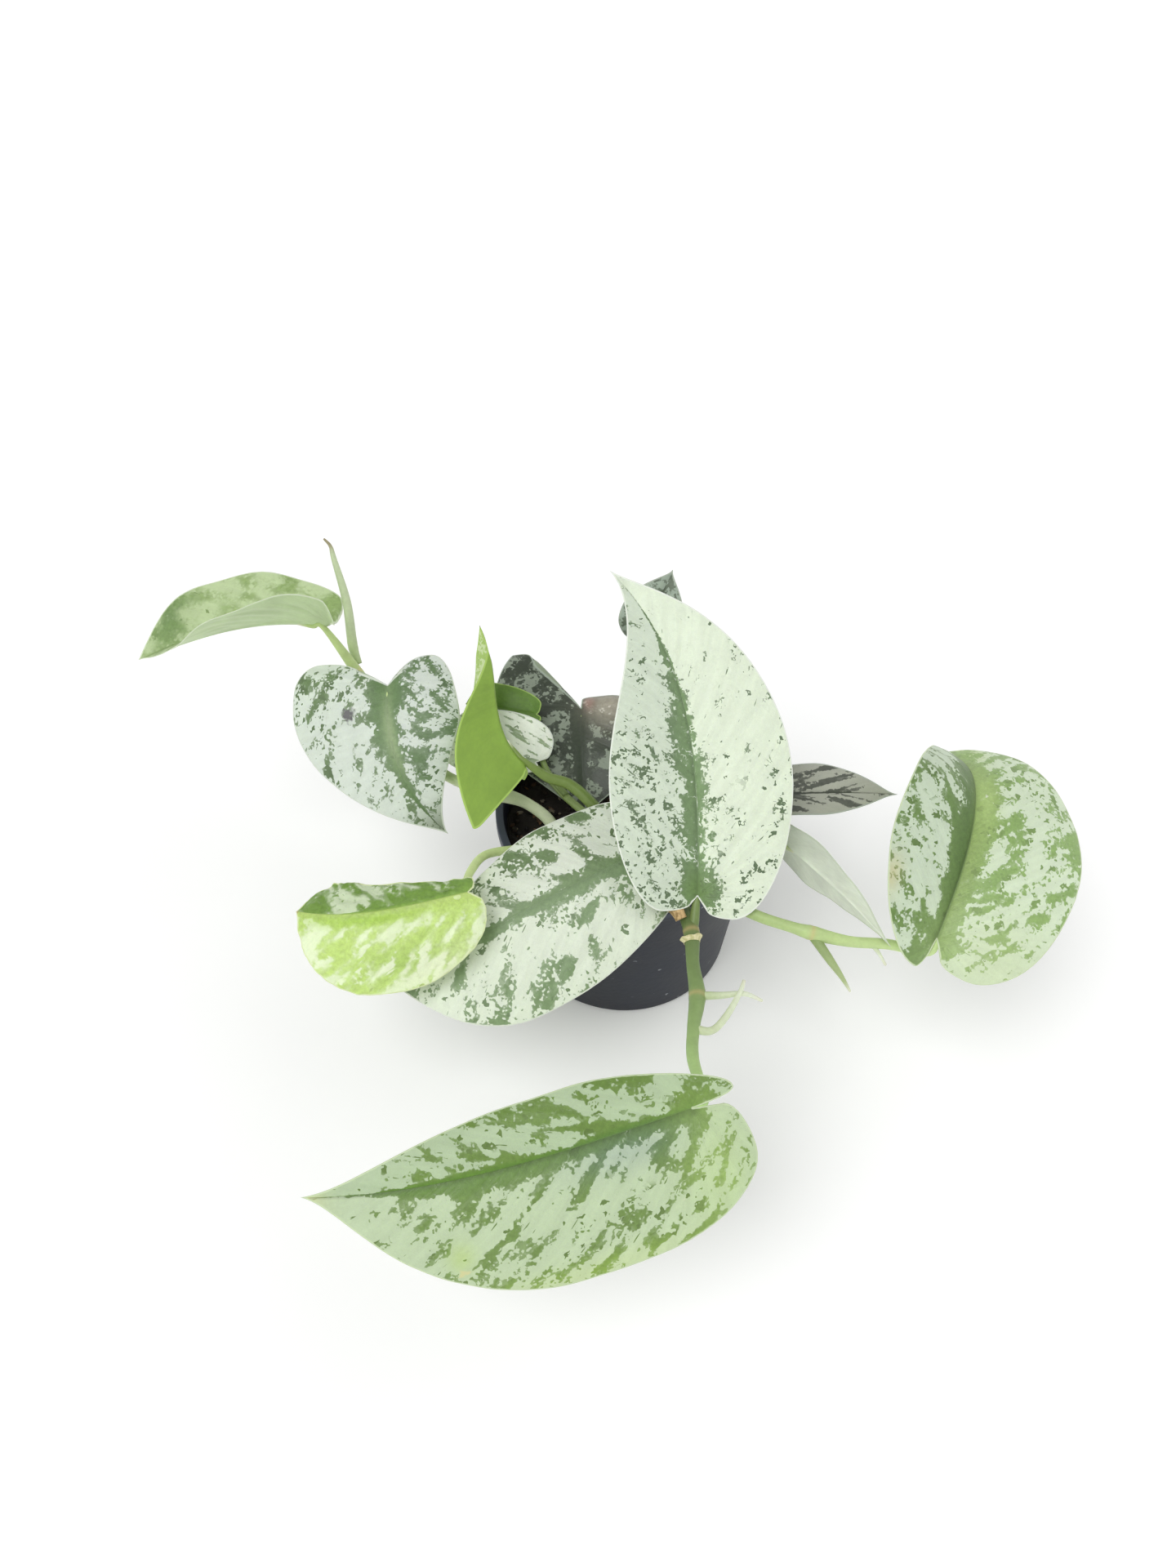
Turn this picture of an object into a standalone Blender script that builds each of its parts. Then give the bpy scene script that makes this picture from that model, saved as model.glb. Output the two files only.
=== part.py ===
"""A satin pothos in a 103 mm nursery pot: pot, soil, vines and one blade for every leaf.

Run with: blender --background --python part.py
The origin is the centre of the pot's underside, +Z is up and the plant's front faces -Y.
"""

import math
from dataclasses import dataclass

import bpy
import numpy as np

MM = 0.001
CLEARANCE = 0.3
SHARP_ANGLE = 40

# Pot and soil, mm
POT_HEIGHT = 82.0
RIM_RADIUS = 51.5
RIM_BAND = 5.0
RIM_STEP = 1.0
RIM_BEVEL = 0.4
LIP_SLOPE = 1.2
WALL = 1.8
WALL_TOP_RADIUS = 50.3
BASE_RADIUS = 44.8
BASE_BEVEL = 1.5
FLOOR = 2.4
ROUND_SEGMENTS = 48
DRAIN_HOLES = 6
DRAIN_RADIUS = 4.0
DRAIN_RING = 32.0
SOIL_TOP = 70.0
SOIL_RELIEF = 1.6
STEM_DEPTH = 12.0
SOIL_SEGMENTS = 36
SOIL_RINGS = (0.86, 0.68, 0.5, 0.32, 0.15)  # shares of its radius
DRAIN_SIDES = 16
HOLE_SIDES = 12

# Leaf blades, mm
BLADE = 0.7
KEEL = 0.7
COLUMNS = (0.0, 0.3, 0.58, 0.82, 1.0)
LOBE_ROWS = 3
SHOULDER_ROWS = 4
TIP_ROWS = 8
LOBE_HANDLE = 0.3  # the notch curve's first handle, as a share of the lobe
TIP_HANDLE = 0.78  # the tip curve's second handle, as a share of its length
HALVES_APART = 2.2  # how far the waves of one half run ahead of the other's, in radians

# Petioles and stems, mm
PETIOLE = 1.5
PETIOLE_TIP = 1.1
TUBE_SIDES = 8
STEPS_PER_SPAN = 2


@dataclass
class Half:
    """One half of a blade, from the midrib to the margin. Lengths in mm, angles in degrees."""

    width: float = 30  # at its widest
    lobe: float = 14  # reach of the lobe behind the base
    widest: float = 0.25  # place of the widest point, as a share of the midrib
    belly: float = 0.5  # how far past it the margin stays wide
    blunt: float = 0.13  # fullness next to the tip
    plump: float = 0.5  # roundness of the lobe's outer side
    lobe_at: float = 0.42  # the lobe's furthest point, as a share of the width
    notch: float = 0.09  # opening of the notch, the same way
    sinus: float = 0.55  # the notch's depth behind the base, as a share of the lobe
    fold: tuple = (15, 15)  # rise where it leaves the midrib, at base and tip
    curl: float = -30  # its further bend out to the margin


@dataclass
class Leaf:
    """One heart-shaped blade with its midrib from base to tip."""

    base: tuple  # where the midrib leaves its petiole
    tip: tuple
    face: tuple  # the way its upper side looks
    left: Half
    right: Half
    arch: tuple = (0, 0)  # the midrib's two handles, towards its face
    sway: tuple = (0, 0)  # the same, to its left
    twist: float = 0  # turn of the face from base to tip, towards its left
    lobe_drop: float = 3
    ripple: float = 1.0
    waves: float = 2.5
    color: tuple = (0.55, 0.68, 0.55)


LEAVES = {
    "leaf_centre": Leaf(
        base=(23, -52, 96.5), tip=(-9, 45, 161), face=(-0.05, -0.62, 0.78),
        left=Half(31, lobe=5, widest=0.30, belly=0.45, blunt=0.05, fold=(22, 22), curl=-20),
        right=Half(35, lobe=8, widest=0.34, belly=0.45, lobe_at=0.36, fold=(14, 14), curl=-34),
        arch=(3, 6), sway=(-11, -22), lobe_drop=1, ripple=0.8, color=(0.66, 0.76, 0.66),
    ),
    "leaf_front": Leaf(
        base=(17, -133, 102), tip=(-97, -161, 100), face=(0.0, -0.6, 0.8),
        left=Half(40, lobe=16, widest=0.33, belly=0.6, plump=0.58, notch=0.04, fold=(20, 10), curl=-42),
        right=Half(18, lobe=15, widest=0.3, belly=0.6, blunt=0.2, plump=0.35, lobe_at=0.12, notch=0.02,
                   fold=(8, 8), curl=-44),
        arch=(5, 3), sway=(3, 8), lobe_drop=1.5, color=(0.52, 0.68, 0.46),
    ),
    "leaf_right": Leaf(
        base=(106, -64, 90), tip=(124, 30, 80), face=(0.1, -0.2, 0.95),
        left=Half(30, lobe=12, widest=0.29, belly=0.5, lobe_at=0.12, notch=0.02, sinus=0.3,
                  fold=(34, 28), curl=-34),
        right=Half(42, lobe=10, widest=0.32, belly=0.55, lobe_at=0.36, fold=(22, 18), curl=-44),
        arch=(26, 36), sway=(-6, -10), color=(0.52, 0.70, 0.46),
    ),
    "leaf_lower_left": Leaf(
        base=(5, -33, 97), tip=(-82, -76, 72), face=(-0.15, -0.3, 0.95),
        left=Half(36, lobe=6, widest=0.5, belly=0.6, blunt=0.6, plump=0.4, fold=(0, 0), curl=-34),
        right=Half(27, lobe=12, widest=0.22, belly=0.5, fold=(14, 8), curl=-34),
        arch=(8, 10), color=(0.60, 0.72, 0.58),
    ),
    "leaf_yellow": Leaf(
        base=(-56, -58, 106), tip=(-115.5, -61.5, 98), face=(0.0, -0.35, 0.93),
        left=Half(29, lobe=4.5, widest=0.48, belly=0.5, blunt=0.84, plump=0.45, lobe_at=0.3,
                  sinus=0.75, fold=(-12, -12), curl=-22),
        right=Half(15.5, lobe=3, widest=0.75, belly=0.6, blunt=1.1, plump=0.15, lobe_at=0.4,
                   fold=(-28, -22), curl=-18),
        arch=(5, 5), sway=(4, 7), lobe_drop=1, ripple=1.6, color=(0.62, 0.78, 0.38),
    ),
    "leaf_heart": Leaf(
        base=(-92, 27, 119), tip=(-68, -18, 86), face=(-0.1, -0.55, 0.83),
        left=Half(28, lobe=13, widest=0.2, lobe_at=0.58, notch=0.2, sinus=0.42, fold=(18, 10), curl=-36),
        right=Half(40, lobe=10, widest=0.12, belly=0.2, blunt=0.1, lobe_at=0.75, notch=0.3, sinus=0.45,
                   fold=(12, 8), curl=-40),
        arch=(6, 8), sway=(-9, -9), color=(0.60, 0.72, 0.60),
    ),
    "leaf_arching": Leaf(
        base=(-115, 48, 130), tip=(-193, 46, 112), face=(0.0, 0.55, 0.85),
        left=Half(27, lobe=3, widest=0.35, fold=(44, 30), curl=-8),
        right=Half(24, lobe=2, widest=0.45, belly=0.6, blunt=0.4, fold=(44, 30), curl=-14),
        arch=(9, 5), twist=45, color=(0.58, 0.70, 0.50),
    ),
    "leaf_bright_edge": Leaf(
        base=(-38.5, -4, 108), tip=(-57, 40, 138), face=(-0.95, -0.29, -0.1),
        left=Half(13, lobe=2, widest=0.5, belly=0.5, blunt=0.6, plump=0.1, lobe_at=0.4,
                  fold=(42, 30), curl=0),
        right=Half(34, lobe=1.5, widest=0.0, belly=0.0, blunt=-0.2, plump=0.6, lobe_at=0.88,
                   sinus=0.7, fold=(65, 54), curl=-6),
        arch=(12, -3), lobe_drop=0, ripple=0.5, color=(0.40, 0.62, 0.14),
    ),
    "leaf_small_silver": Leaf(
        base=(-36, 11, 94), tip=(-73, 15, 94), face=(-0.05, -0.62, 0.78),
        left=Half(6, lobe=1, widest=0.45, belly=0.6, blunt=1.0, curl=-25),
        right=Half(19, lobe=6, widest=0.4, belly=0.6, blunt=1.0, plump=0.6, curl=-25),
        arch=(3, 3), lobe_drop=0, ripple=0.4, color=(0.66, 0.76, 0.66),
    ),
    "leaf_young_green": Leaf(
        base=(-36, 28, 103), tip=(-64, 32, 104), face=(0.05, -0.45, 0.85),
        left=Half(6, lobe=2, lobe_at=0.3, fold=(10, 10), curl=-10),
        right=Half(10, lobe=1, widest=0.65, belly=0.6, blunt=0.6, fold=(10, 10), curl=-20),
        arch=(2, 2), lobe_drop=0, ripple=0.2, color=(0.33, 0.52, 0.12),
    ),
    "leaf_back": Leaf(
        base=(-19, 40, 94), tip=(-17, -2, 75), face=(-0.05, -0.45, 0.89),
        left=Half(28, lobe=6, widest=0.3, notch=0.02, sinus=0.8, fold=(14, 14), curl=-24),
        right=Half(39, lobe=28, widest=0.1, belly=0.4, plump=0.2, lobe_at=0.72, notch=0.5, sinus=0.75,
                   fold=(14, 14), curl=-26),
        arch=(4, 4), lobe_drop=2, color=(0.30, 0.38, 0.30),
    ),
    "leaf_behind_tip": Leaf(
        base=(6, 46, 129), tip=(15, 59, 150), face=(-0.1, -0.7, 0.7),
        left=Half(13, lobe=6, fold=(14, 14), curl=-24),
        right=Half(13, lobe=6, fold=(24, 24), curl=-10),
        arch=(4, 4), color=(0.34, 0.42, 0.33),
    ),
    "leaf_dark_slim": Leaf(
        base=(42, -6, 95), tip=(102, -1, 92), face=(0.05, -0.25, 0.95),
        left=Half(12, lobe=4, widest=0.4, belly=0.6, fold=(16, 16), curl=-20),
        right=Half(9, lobe=4, widest=0.4, belly=0.6, fold=(16, 16), curl=-34),
        arch=(4, 3), lobe_drop=1, ripple=0.5, color=(0.40, 0.42, 0.40),
    ),
    "leaf_pale_drooping": Leaf(
        base=(53, -18, 90), tip=(89, -69, 92), face=(0.7, 0.7, 0.0),
        left=Half(13, lobe=4, widest=0.3, belly=0.35, blunt=0.1, fold=(8, 8), curl=-10),
        right=Half(13, lobe=4, widest=0.35, belly=0.45, blunt=0.1, fold=(8, 8), curl=-10),
        arch=(0, 0), sway=(-2, -6), lobe_drop=0, ripple=0.5, color=(0.52, 0.60, 0.48),
    ),
}

# Vines, mm: each tube is a route of (x, y, z, radius), and "leaf" names the blade that its end carries.
# "side_on" petioles meet their blade from below, and the others run in along the midrib.
VINES = {
    "vine_front": [
        {"route": [(16, -30, 76, 2.6), (17, -41, 84, 2.5), (19, -52, 87, 2.5), (21, -62, 89, 2.8),
                   (21, -74, 88, 2.3), (22, -86, 87, 2.8), (20, -99, 88, 2.1), (19, -112, 92, 2.0)],
         "soil": (16, -30), "leaf": "leaf_front"},
        {"route": [(21, -62, 89, 1.8), (22, -58, 90.5, 1.8)], "leaf": "leaf_centre", "side_on": True},
        {"route": [(22, -86, 87, 1.6), (30, -86, 87.5, 1.2), (38, -85, 87, 0.9), (44, -87, 86, 0.5)]},
        {"route": [(20, -99, 88, 1.6), (26, -99, 87, 1.3), (31, -94, 87, 1.2), (36, -86, 88.5, 0.9),
                   (38, -81, 89, 0.6)]},
    ],
    "vine_right": [
        {"route": [(28, -24, 76, 2.3), (30, -36, 86, 2.2), (33, -48, 90, 2.1), (44, -56, 91, 2.0),
                   (56, -60, 90, 2.0), (63, -62, 89.5, 2.5), (76, -64, 87.5, 2.0), (90, -64, 86, 1.9)],
         "soil": (28, -24), "leaf": "leaf_right"},
        {"route": [(84, -64, 86.5, 1.0), (87, -67, 84, 0.6), (89, -70, 82, 0.5)]},
        {"route": [(63, -62, 89, 1.9), (69, -70, 85, 1.5), (73, -75, 82, 0.9), (76, -79, 79, 0.4)]},
    ],
    "vine_left": [
        {"route": [(-27, -17, 76, 2.4), (-30, -11, 85, 2.3), (-39, -6, 90, 2.2), (-49, -3, 91.5, 2.8),
                   (-60, -1, 93, 2.1), (-74, 6, 95.5, 2.0), (-90, 21, 100, 2.4), (-100, 34, 105, 2.0),
                   (-107, 43, 110, 2.2)],
         "soil": (-27, -17), "leaf": "leaf_arching", "side_on": True},
        {"route": [(-90, 21, 100, 1.7), (-93, 29, 107, 1.7)], "leaf": "leaf_heart", "side_on": True},
    ],
    "vine_inner": [
        {"route": [(-4, -20, 76, 2.6), (-6, -19, 86, 2.4), (-12, -14, 96, 2.2), (-22, -7, 102, 2.1),
                   (-31, -5, 104.5, 1.9)],
         "soil": (-4, -20), "leaf": "leaf_bright_edge", "side_on": True},
        {"route": [(-4, -20, 78, 1.8), (2, -24, 86, 1.7)], "leaf": "leaf_lower_left"},
        {"route": [(-4, -20, 77, 1.8), (-16, -22, 82, 1.7), (-32, -23, 85, 1.7), (-43, -25, 86, 1.7),
                   (-53, -31, 90.5, 1.6), (-57, -44, 98, 1.5)], "leaf": "leaf_yellow", "side_on": True},
        {"route": [(-6, -19, 84, 1.8), (-14, -12, 88, 1.6), (-24, -2, 89, 1.5), (-31, 8, 88, 1.4)],
         "leaf": "leaf_small_silver", "side_on": True},
        {"route": [(-24, -2, 90, 1.3), (-32, 10, 91, 1.2), (-36, 21, 97, 1.1)],
         "leaf": "leaf_young_green", "side_on": True},
    ],
    "vine_back": [
        {"route": [(-16, 36, 76, 2.0), (-17, 40, 84, 1.8)], "soil": (-16, 36),
         "leaf": "leaf_back", "side_on": True},
    ],
    "vine_behind": [
        {"route": [(22, 6, 76, 2.4), (22, 14, 88, 2.2), (18, 34, 104, 1.8), (11, 49, 118, 1.7)],
         "soil": (22, 6), "leaf": "leaf_behind_tip", "side_on": True},
        {"route": [(22, 8, 80, 1.8), (28, 0, 88, 1.6)], "leaf": "leaf_dark_slim"},
        {"route": [(22, 8, 80, 1.8), (34, -2, 85, 1.6), (44, -13, 88, 1.6)], "leaf": "leaf_pale_drooping",
         "side_on": True},
    ],
}

# A young leaf still rolled up, mm: a spike like a tube
ROLLED = [(-107, 47.5, 110, 1.4), (-109, 51.5, 116, 1.9), (-110.5, 60.5, 130.5, 1.7), (-115, 71, 143, 1.1),
          (-116.5, 75, 146, 0.7), (-119, 77, 148, 0.4)]


def clear_scene():
    for obj in list(bpy.data.objects):
        bpy.data.objects.remove(obj, do_unlink=True)


def material(name, color, roughness):
    made = bpy.data.materials.new(name)
    made.use_nodes = True
    shader = made.node_tree.nodes["Principled BSDF"]
    shader.inputs["Base Color"].default_value = (*color, 1.0)
    shader.inputs["Roughness"].default_value = roughness
    made.diffuse_color = (*color, 1.0)
    return made


def add_object(name, points, faces, skin):
    """A mesh object from points in mm."""
    mesh = bpy.data.meshes.new(name)
    mesh.from_pydata([tuple(MM * value for value in point) for point in points], [], faces)
    mesh.materials.append(skin)
    mesh.shade_smooth()
    mesh.set_sharp_from_angle(angle=math.radians(SHARP_ANGLE))
    obj = bpy.data.objects.new(name, mesh)
    bpy.context.scene.collection.objects.link(obj)
    return obj


def boolean(obj, others, operation):
    """Joins or cuts obj with a list of objects, applies the result and removes the others."""
    tools = bpy.data.collections.new("tools")
    bpy.context.scene.collection.children.link(tools)
    for other in others:
        tools.objects.link(other)
    change = obj.modifiers.new(operation, "BOOLEAN")
    change.operation = operation
    change.operand_type = "COLLECTION"
    change.collection = tools
    bpy.context.view_layer.update()
    shaped = bpy.data.meshes.new_from_object(obj.evaluated_get(bpy.context.evaluated_depsgraph_get()))
    obj.modifiers.remove(change)
    obj.data = shaped
    for other in others:
        bpy.data.objects.remove(other, do_unlink=True)
    bpy.data.collections.remove(tools)


def unit(vectors):
    vectors = np.asarray(vectors, float)
    return vectors / np.linalg.norm(vectors, axis=-1, keepdims=True)


def bezier(start, first, second, end, share):
    """Points of a cubic curve at each share from 0 to 1."""
    share = np.asarray(share, float)[:, None]
    rest = 1 - share
    corners = (np.asarray(corner, float) for corner in (start, first, second, end))
    weights = (rest**3, 3 * rest**2 * share, 3 * rest * share**2, share**3)
    return sum(weight * corner for weight, corner in zip(weights, corners))


class Midrib:
    """The midrib's curve, and the place in space of any point (x, y) of the flat blade."""

    SAMPLES = 240

    def __init__(self, leaf):
        self.leaf = leaf
        base, tip = np.array(leaf.base, float), np.array(leaf.tip, float)
        along = unit(tip - base)
        face = np.array(leaf.face, float)
        face = unit(face - (face @ along) * along)
        left = np.cross(face, along)
        first = base + (tip - base) / 3 + face * leaf.arch[0] + left * leaf.sway[0]
        second = tip - (tip - base) / 3 + face * leaf.arch[1] + left * leaf.sway[1]
        self.curve = bezier(base, first, second, tip, np.linspace(0, 1, self.SAMPLES))
        steps = np.linalg.norm(np.diff(self.curve, axis=0), axis=1)
        self.reach = np.concatenate([[0], np.cumsum(steps)])
        self.length = self.reach[-1]
        self.heading = unit(np.gradient(self.curve, self.reach, axis=0))

    def frame(self, x):
        """Centre, heading, left and face directions at distances x along the midrib."""
        inside = np.clip(x, 0, self.length)
        centre = np.stack([np.interp(inside, self.reach, axis) for axis in self.curve.T], 1)
        along = unit(np.stack([np.interp(inside, self.reach, axis) for axis in self.heading.T], 1))
        face = np.array(self.leaf.face, float)
        face = unit(face - (along @ face)[:, None] * along)
        left = np.cross(face, along)
        turn = np.radians(self.leaf.twist) * (inside / self.length)[:, None]
        face, left = face * np.cos(turn) + left * np.sin(turn), left * np.cos(turn) - face * np.sin(turn)
        return centre + (x - inside)[:, None] * along, along, left, face

    def place(self, x, y):
        """Points of the blade's middle surface."""
        leaf = self.leaf
        centre, _, left, face = self.frame(x)
        side = (y < 0).astype(int)
        halves = (leaf.left, leaf.right)
        width = np.array([half.width for half in halves], float)[side]
        lobe = np.array([half.lobe for half in halves], float)[side]
        share = np.clip(x / self.length, 0, 1)
        fold_base, fold_tip = np.radians(np.array([half.fold for half in halves], float)).T
        fold = fold_base[side] * (1 - share) + fold_tip[side] * share
        curl = np.radians(np.array([half.curl for half in halves], float))[side]
        curl = np.where(np.abs(curl) < 1e-3, 1e-3, curl)
        out = np.abs(y) / width
        across = width / curl * (np.sin(fold + curl * out) - np.sin(fold))
        rise = -width / curl * (np.cos(fold + curl * out) - np.cos(fold))
        swing = 2 * math.pi * leaf.waves * x / self.length + HALVES_APART * side
        rise = rise + leaf.ripple * out**2 * np.sin(swing)
        rise = rise - leaf.lobe_drop * (np.minimum(x, 0) / lobe) ** 2
        across = across * np.where(y < 0, -1, 1)
        return centre + across[:, None] * left + rise[:, None] * face


def margin(half, length):
    """Rows (x, y, root) of one half: a point of the margin, and the midrib point that its vein leaves."""
    width, lobe = half.width, half.lobe
    notch = (-half.sinus * lobe, half.notch * width)
    back = (-lobe, half.lobe_at * width)
    wide = (half.widest * length, width)
    tip = (length, 0)
    rest = length - wide[0]
    inner = bezier(notch, (notch[0] - LOBE_HANDLE * lobe, notch[1]), (back[0], (notch[1] + back[1]) / 2),
                   back, np.arange(LOBE_ROWS) / LOBE_ROWS)
    outer = bezier(back, (back[0], back[1] + half.plump * (width - back[1])),
                   (wide[0] - half.plump * (wide[0] - back[0]), width),
                   wide, np.arange(SHOULDER_ROWS) / SHOULDER_ROWS)
    point = bezier(wide, (wide[0] + half.belly * rest, width),
                   (wide[0] + TIP_HANDLE * rest, half.blunt * width), tip, np.arange(TIP_ROWS + 1) / TIP_ROWS)
    rows = [(x, y, 0.0) for x, y in np.concatenate([inner, outer])]
    return rows + [(x, y, length * row / TIP_ROWS) for row, (x, y) in enumerate(point)]


def flat_blade(leaf, length):
    """The blade laid flat: points (x, y) and triangles that face up."""
    points, triangles, spine = [], [], {}

    def spine_point(x):
        if round(x, 4) not in spine:
            spine[round(x, 4)] = len(points)
            points.append((x, 0.0))
        return spine[round(x, 4)]

    for half, sign in ((leaf.left, 1), (leaf.right, -1)):
        rows = []
        for x, y, root in margin(half, length):
            row = [spine_point(root)]
            for share in COLUMNS[1:]:
                if abs(y) < 1e-6:
                    row.append(row[0])
                    continue
                points.append((root + (x - root) * share, sign * y * share))
                row.append(len(points) - 1)
            rows.append(row)
        for near, far in zip(rows, rows[1:]):
            for j in range(len(COLUMNS) - 1):
                ring = [near[j], far[j], far[j + 1], near[j + 1]][::sign]
                for triangle in ((ring[0], ring[1], ring[2]), (ring[0], ring[2], ring[3])):
                    if len(set(triangle)) == 3:
                        triangles.append(triangle)
    return np.array(points), np.array(triangles), sorted(spine.values())


def vertex_normals(points, triangles):
    corners = points[triangles]
    areas = np.cross(corners[:, 1] - corners[:, 0], corners[:, 2] - corners[:, 0])
    normals = np.zeros_like(points)
    for corner in range(3):
        np.add.at(normals, triangles[:, corner], areas)
    return unit(normals)


def blade_mesh(leaf):
    """A closed blade: its middle surface moved out both ways, with a keel under the midrib."""
    midrib = Midrib(leaf)
    flat, triangles, spine = flat_blade(leaf, midrib.length)
    middle = midrib.place(flat[:, 0], flat[:, 1])
    normals = vertex_normals(middle, triangles)
    under = np.full(len(middle), BLADE / 2)
    under[spine] += KEEL * (1 - flat[spine, 0] / midrib.length)
    top = middle + normals * BLADE / 2
    bottom = middle - normals * under[:, None]
    count = len(middle)
    faces = [tuple(t) for t in triangles.tolist()]
    faces += [(c + count, b + count, a + count) for a, b, c in triangles.tolist()]
    edges = {(t[i], t[(i + 1) % 3]) for t in triangles.tolist() for i in range(3)}
    for a, b in sorted(edges):
        if (b, a) not in edges:
            faces += [(b, a, a + count), (b, a + count, b + count)]
    return np.concatenate([top, bottom]).tolist(), faces


def seat(leaf, side_on, start):
    """The last points of a petiole that comes from start, just clear of the midrib's keel."""
    centre, _, _, face = Midrib(leaf).frame(np.array([-5.0, 2.5]))
    droop = math.radians(min(leaf.left.fold[0], leaf.right.fold[0], 0))
    under = KEEL + BLADE / 2 + 2 * CLEARANCE
    beside = centre[0] - face[0] * (KEEL + (under - KEEL + PETIOLE) / math.cos(droop))
    heading = unit(centre[1] - (start if side_on else beside))
    slant = np.linalg.norm(np.cross(heading, face[1]))
    end = (*(centre[1] - face[1] * (under + PETIOLE_TIP * slant / math.cos(droop))), PETIOLE_TIP)
    return [end] if side_on else [(*beside, PETIOLE), end]


def smooth_route(points):
    """A Catmull-Rom curve through rows of (x, y, z, radius)."""
    points = np.asarray(points, float)
    padded = np.vstack([2 * points[0] - points[1], points, 2 * points[-1] - points[-2]])
    shares = np.arange(STEPS_PER_SPAN) / STEPS_PER_SPAN
    curve = []
    for before, start, end, after in zip(padded, padded[1:], padded[2:], padded[3:]):
        slope_in, slope_out = (end - before) / 2, (after - start) / 2
        curve.append(bezier(start, start + slope_in / 3, end - slope_out / 3, end, shares))
    return np.vstack(curve + [points[-1:]])


def tube_mesh(route):
    """A closed round tube along a route, its rings carried on without twisting."""
    curve = smooth_route(route)
    centres, radii = curve[:, :3], curve[:, 3]
    heading = unit(np.gradient(centres, axis=0))
    across = unit(np.cross(heading[0], (0.3, 1.0, 0.2)))
    angles = 2 * math.pi * np.arange(TUBE_SIDES) / TUBE_SIDES
    points = []
    for centre, along, radius in zip(centres, heading, radii):
        across = unit(across - (across @ along) * along)
        other = np.cross(along, across)
        for angle in angles:
            points.append(tuple(centre + radius * (math.cos(angle) * across + math.sin(angle) * other)))
    faces = [tuple(reversed(range(TUBE_SIDES)))]
    for ring in range(len(centres) - 1):
        for i in range(TUBE_SIDES):
            a, b = ring * TUBE_SIDES + i, ring * TUBE_SIDES + (i + 1) % TUBE_SIDES
            faces.append((a, b, b + TUBE_SIDES, a + TUBE_SIDES))
    faces.append(tuple(range(len(points) - TUBE_SIDES, len(points))))
    return points, faces


def lathe_mesh(profile, segments=ROUND_SEGMENTS):
    """A closed ring or disc turned about Z from a profile of (radius, z) that runs anticlockwise."""
    points, rings = [], []
    for radius, z in profile:
        if radius == 0:
            rings.append([len(points)] * segments)
            points.append((0, 0, z))
            continue
        rings.append(list(range(len(points), len(points) + segments)))
        for i in range(segments):
            angle = 2 * math.pi * i / segments
            points.append((radius * math.cos(angle), radius * math.sin(angle), z))
    faces = []
    for lower, upper in zip(rings, rings[1:]):
        for i in range(segments):
            j = (i + 1) % segments
            ring = list(dict.fromkeys((lower[i], lower[j], upper[j], upper[i])))
            if len(ring) > 2:
                faces.append(tuple(ring))
    return points, faces


def make_pot():
    skin = material("pot_plastic", (0.045, 0.05, 0.065), 0.45)
    inner_top = WALL_TOP_RADIUS - WALL
    inner_base = BASE_RADIUS - WALL
    shoulder = POT_HEIGHT - RIM_BAND
    profile = [
        (0, 0), (BASE_RADIUS - BASE_BEVEL, 0), (BASE_RADIUS, BASE_BEVEL),
        (WALL_TOP_RADIUS, shoulder - RIM_STEP), (RIM_RADIUS, shoulder), (RIM_RADIUS, POT_HEIGHT - RIM_BEVEL),
        (RIM_RADIUS - RIM_BEVEL, POT_HEIGHT), (inner_top + RIM_BEVEL, POT_HEIGHT),
        (inner_top, POT_HEIGHT - LIP_SLOPE),
        (inner_base, FLOOR), (0, FLOOR),
    ]
    pot = add_object("pot", *lathe_mesh(profile), skin)
    drills = []
    for i in range(DRAIN_HOLES):
        angle = 2 * math.pi * (i + 0.5) / DRAIN_HOLES
        x, y = DRAIN_RING * math.cos(angle), DRAIN_RING * math.sin(angle)
        drills.append(upright_cylinder(f"drain_{i}", x, y, -1.0, FLOOR + 1.0, DRAIN_RADIUS,
                                       DRAIN_SIDES, skin))
    boolean(pot, drills, "DIFFERENCE")


def upright_cylinder(name, x, y, bottom, top, radius, sides, skin):
    points, faces = lathe_mesh([(0, bottom), (radius, bottom), (radius, top), (0, top)], sides)
    return add_object(name, [(px + x, py + y, pz) for px, py, pz in points], faces, skin)


def wall_inside(z):
    """The pot's inner radius at a height."""
    share = (z - FLOOR) / (POT_HEIGHT - LIP_SLOPE - FLOOR)
    return BASE_RADIUS - WALL + share * (WALL_TOP_RADIUS - BASE_RADIUS)


def make_soil():
    skin = material("soil", (0.05, 0.035, 0.025), 0.95)
    bottom = FLOOR + CLEARANCE
    edge = wall_inside(SOIL_TOP) - CLEARANCE
    rings = [(edge, SOIL_TOP)] + [(edge * share, SOIL_TOP) for share in SOIL_RINGS]
    profile = [(0, bottom), (wall_inside(bottom) - CLEARANCE, bottom), *rings, (0, SOIL_TOP)]
    points, faces = lathe_mesh(profile, SOIL_SEGMENTS)
    points = [(x, y, z + crumb(x, y) if z == SOIL_TOP and math.hypot(x, y) < edge - 1 else z)
              for x, y, z in points]
    soil = add_object("soil", points, faces, skin)
    drills = []
    for name, tubes in VINES.items():
        for tube in tubes:
            if "soil" in tube:
                x, y = tube["soil"]
                radius = tube["route"][0][3] + 2 * CLEARANCE
                low = SOIL_TOP - STEM_DEPTH - CLEARANCE
                drills.append(upright_cylinder(f"hole_{name}", x, y, low, POT_HEIGHT, radius,
                                               HOLE_SIDES, skin))
    boolean(soil, drills, "DIFFERENCE")


def crumb(x, y):
    """Uneven height of the potting mix."""
    return SOIL_RELIEF * math.sin(0.31 * x + 1.3 * math.sin(0.23 * y)) * math.cos(0.27 * y + 0.4)


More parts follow.
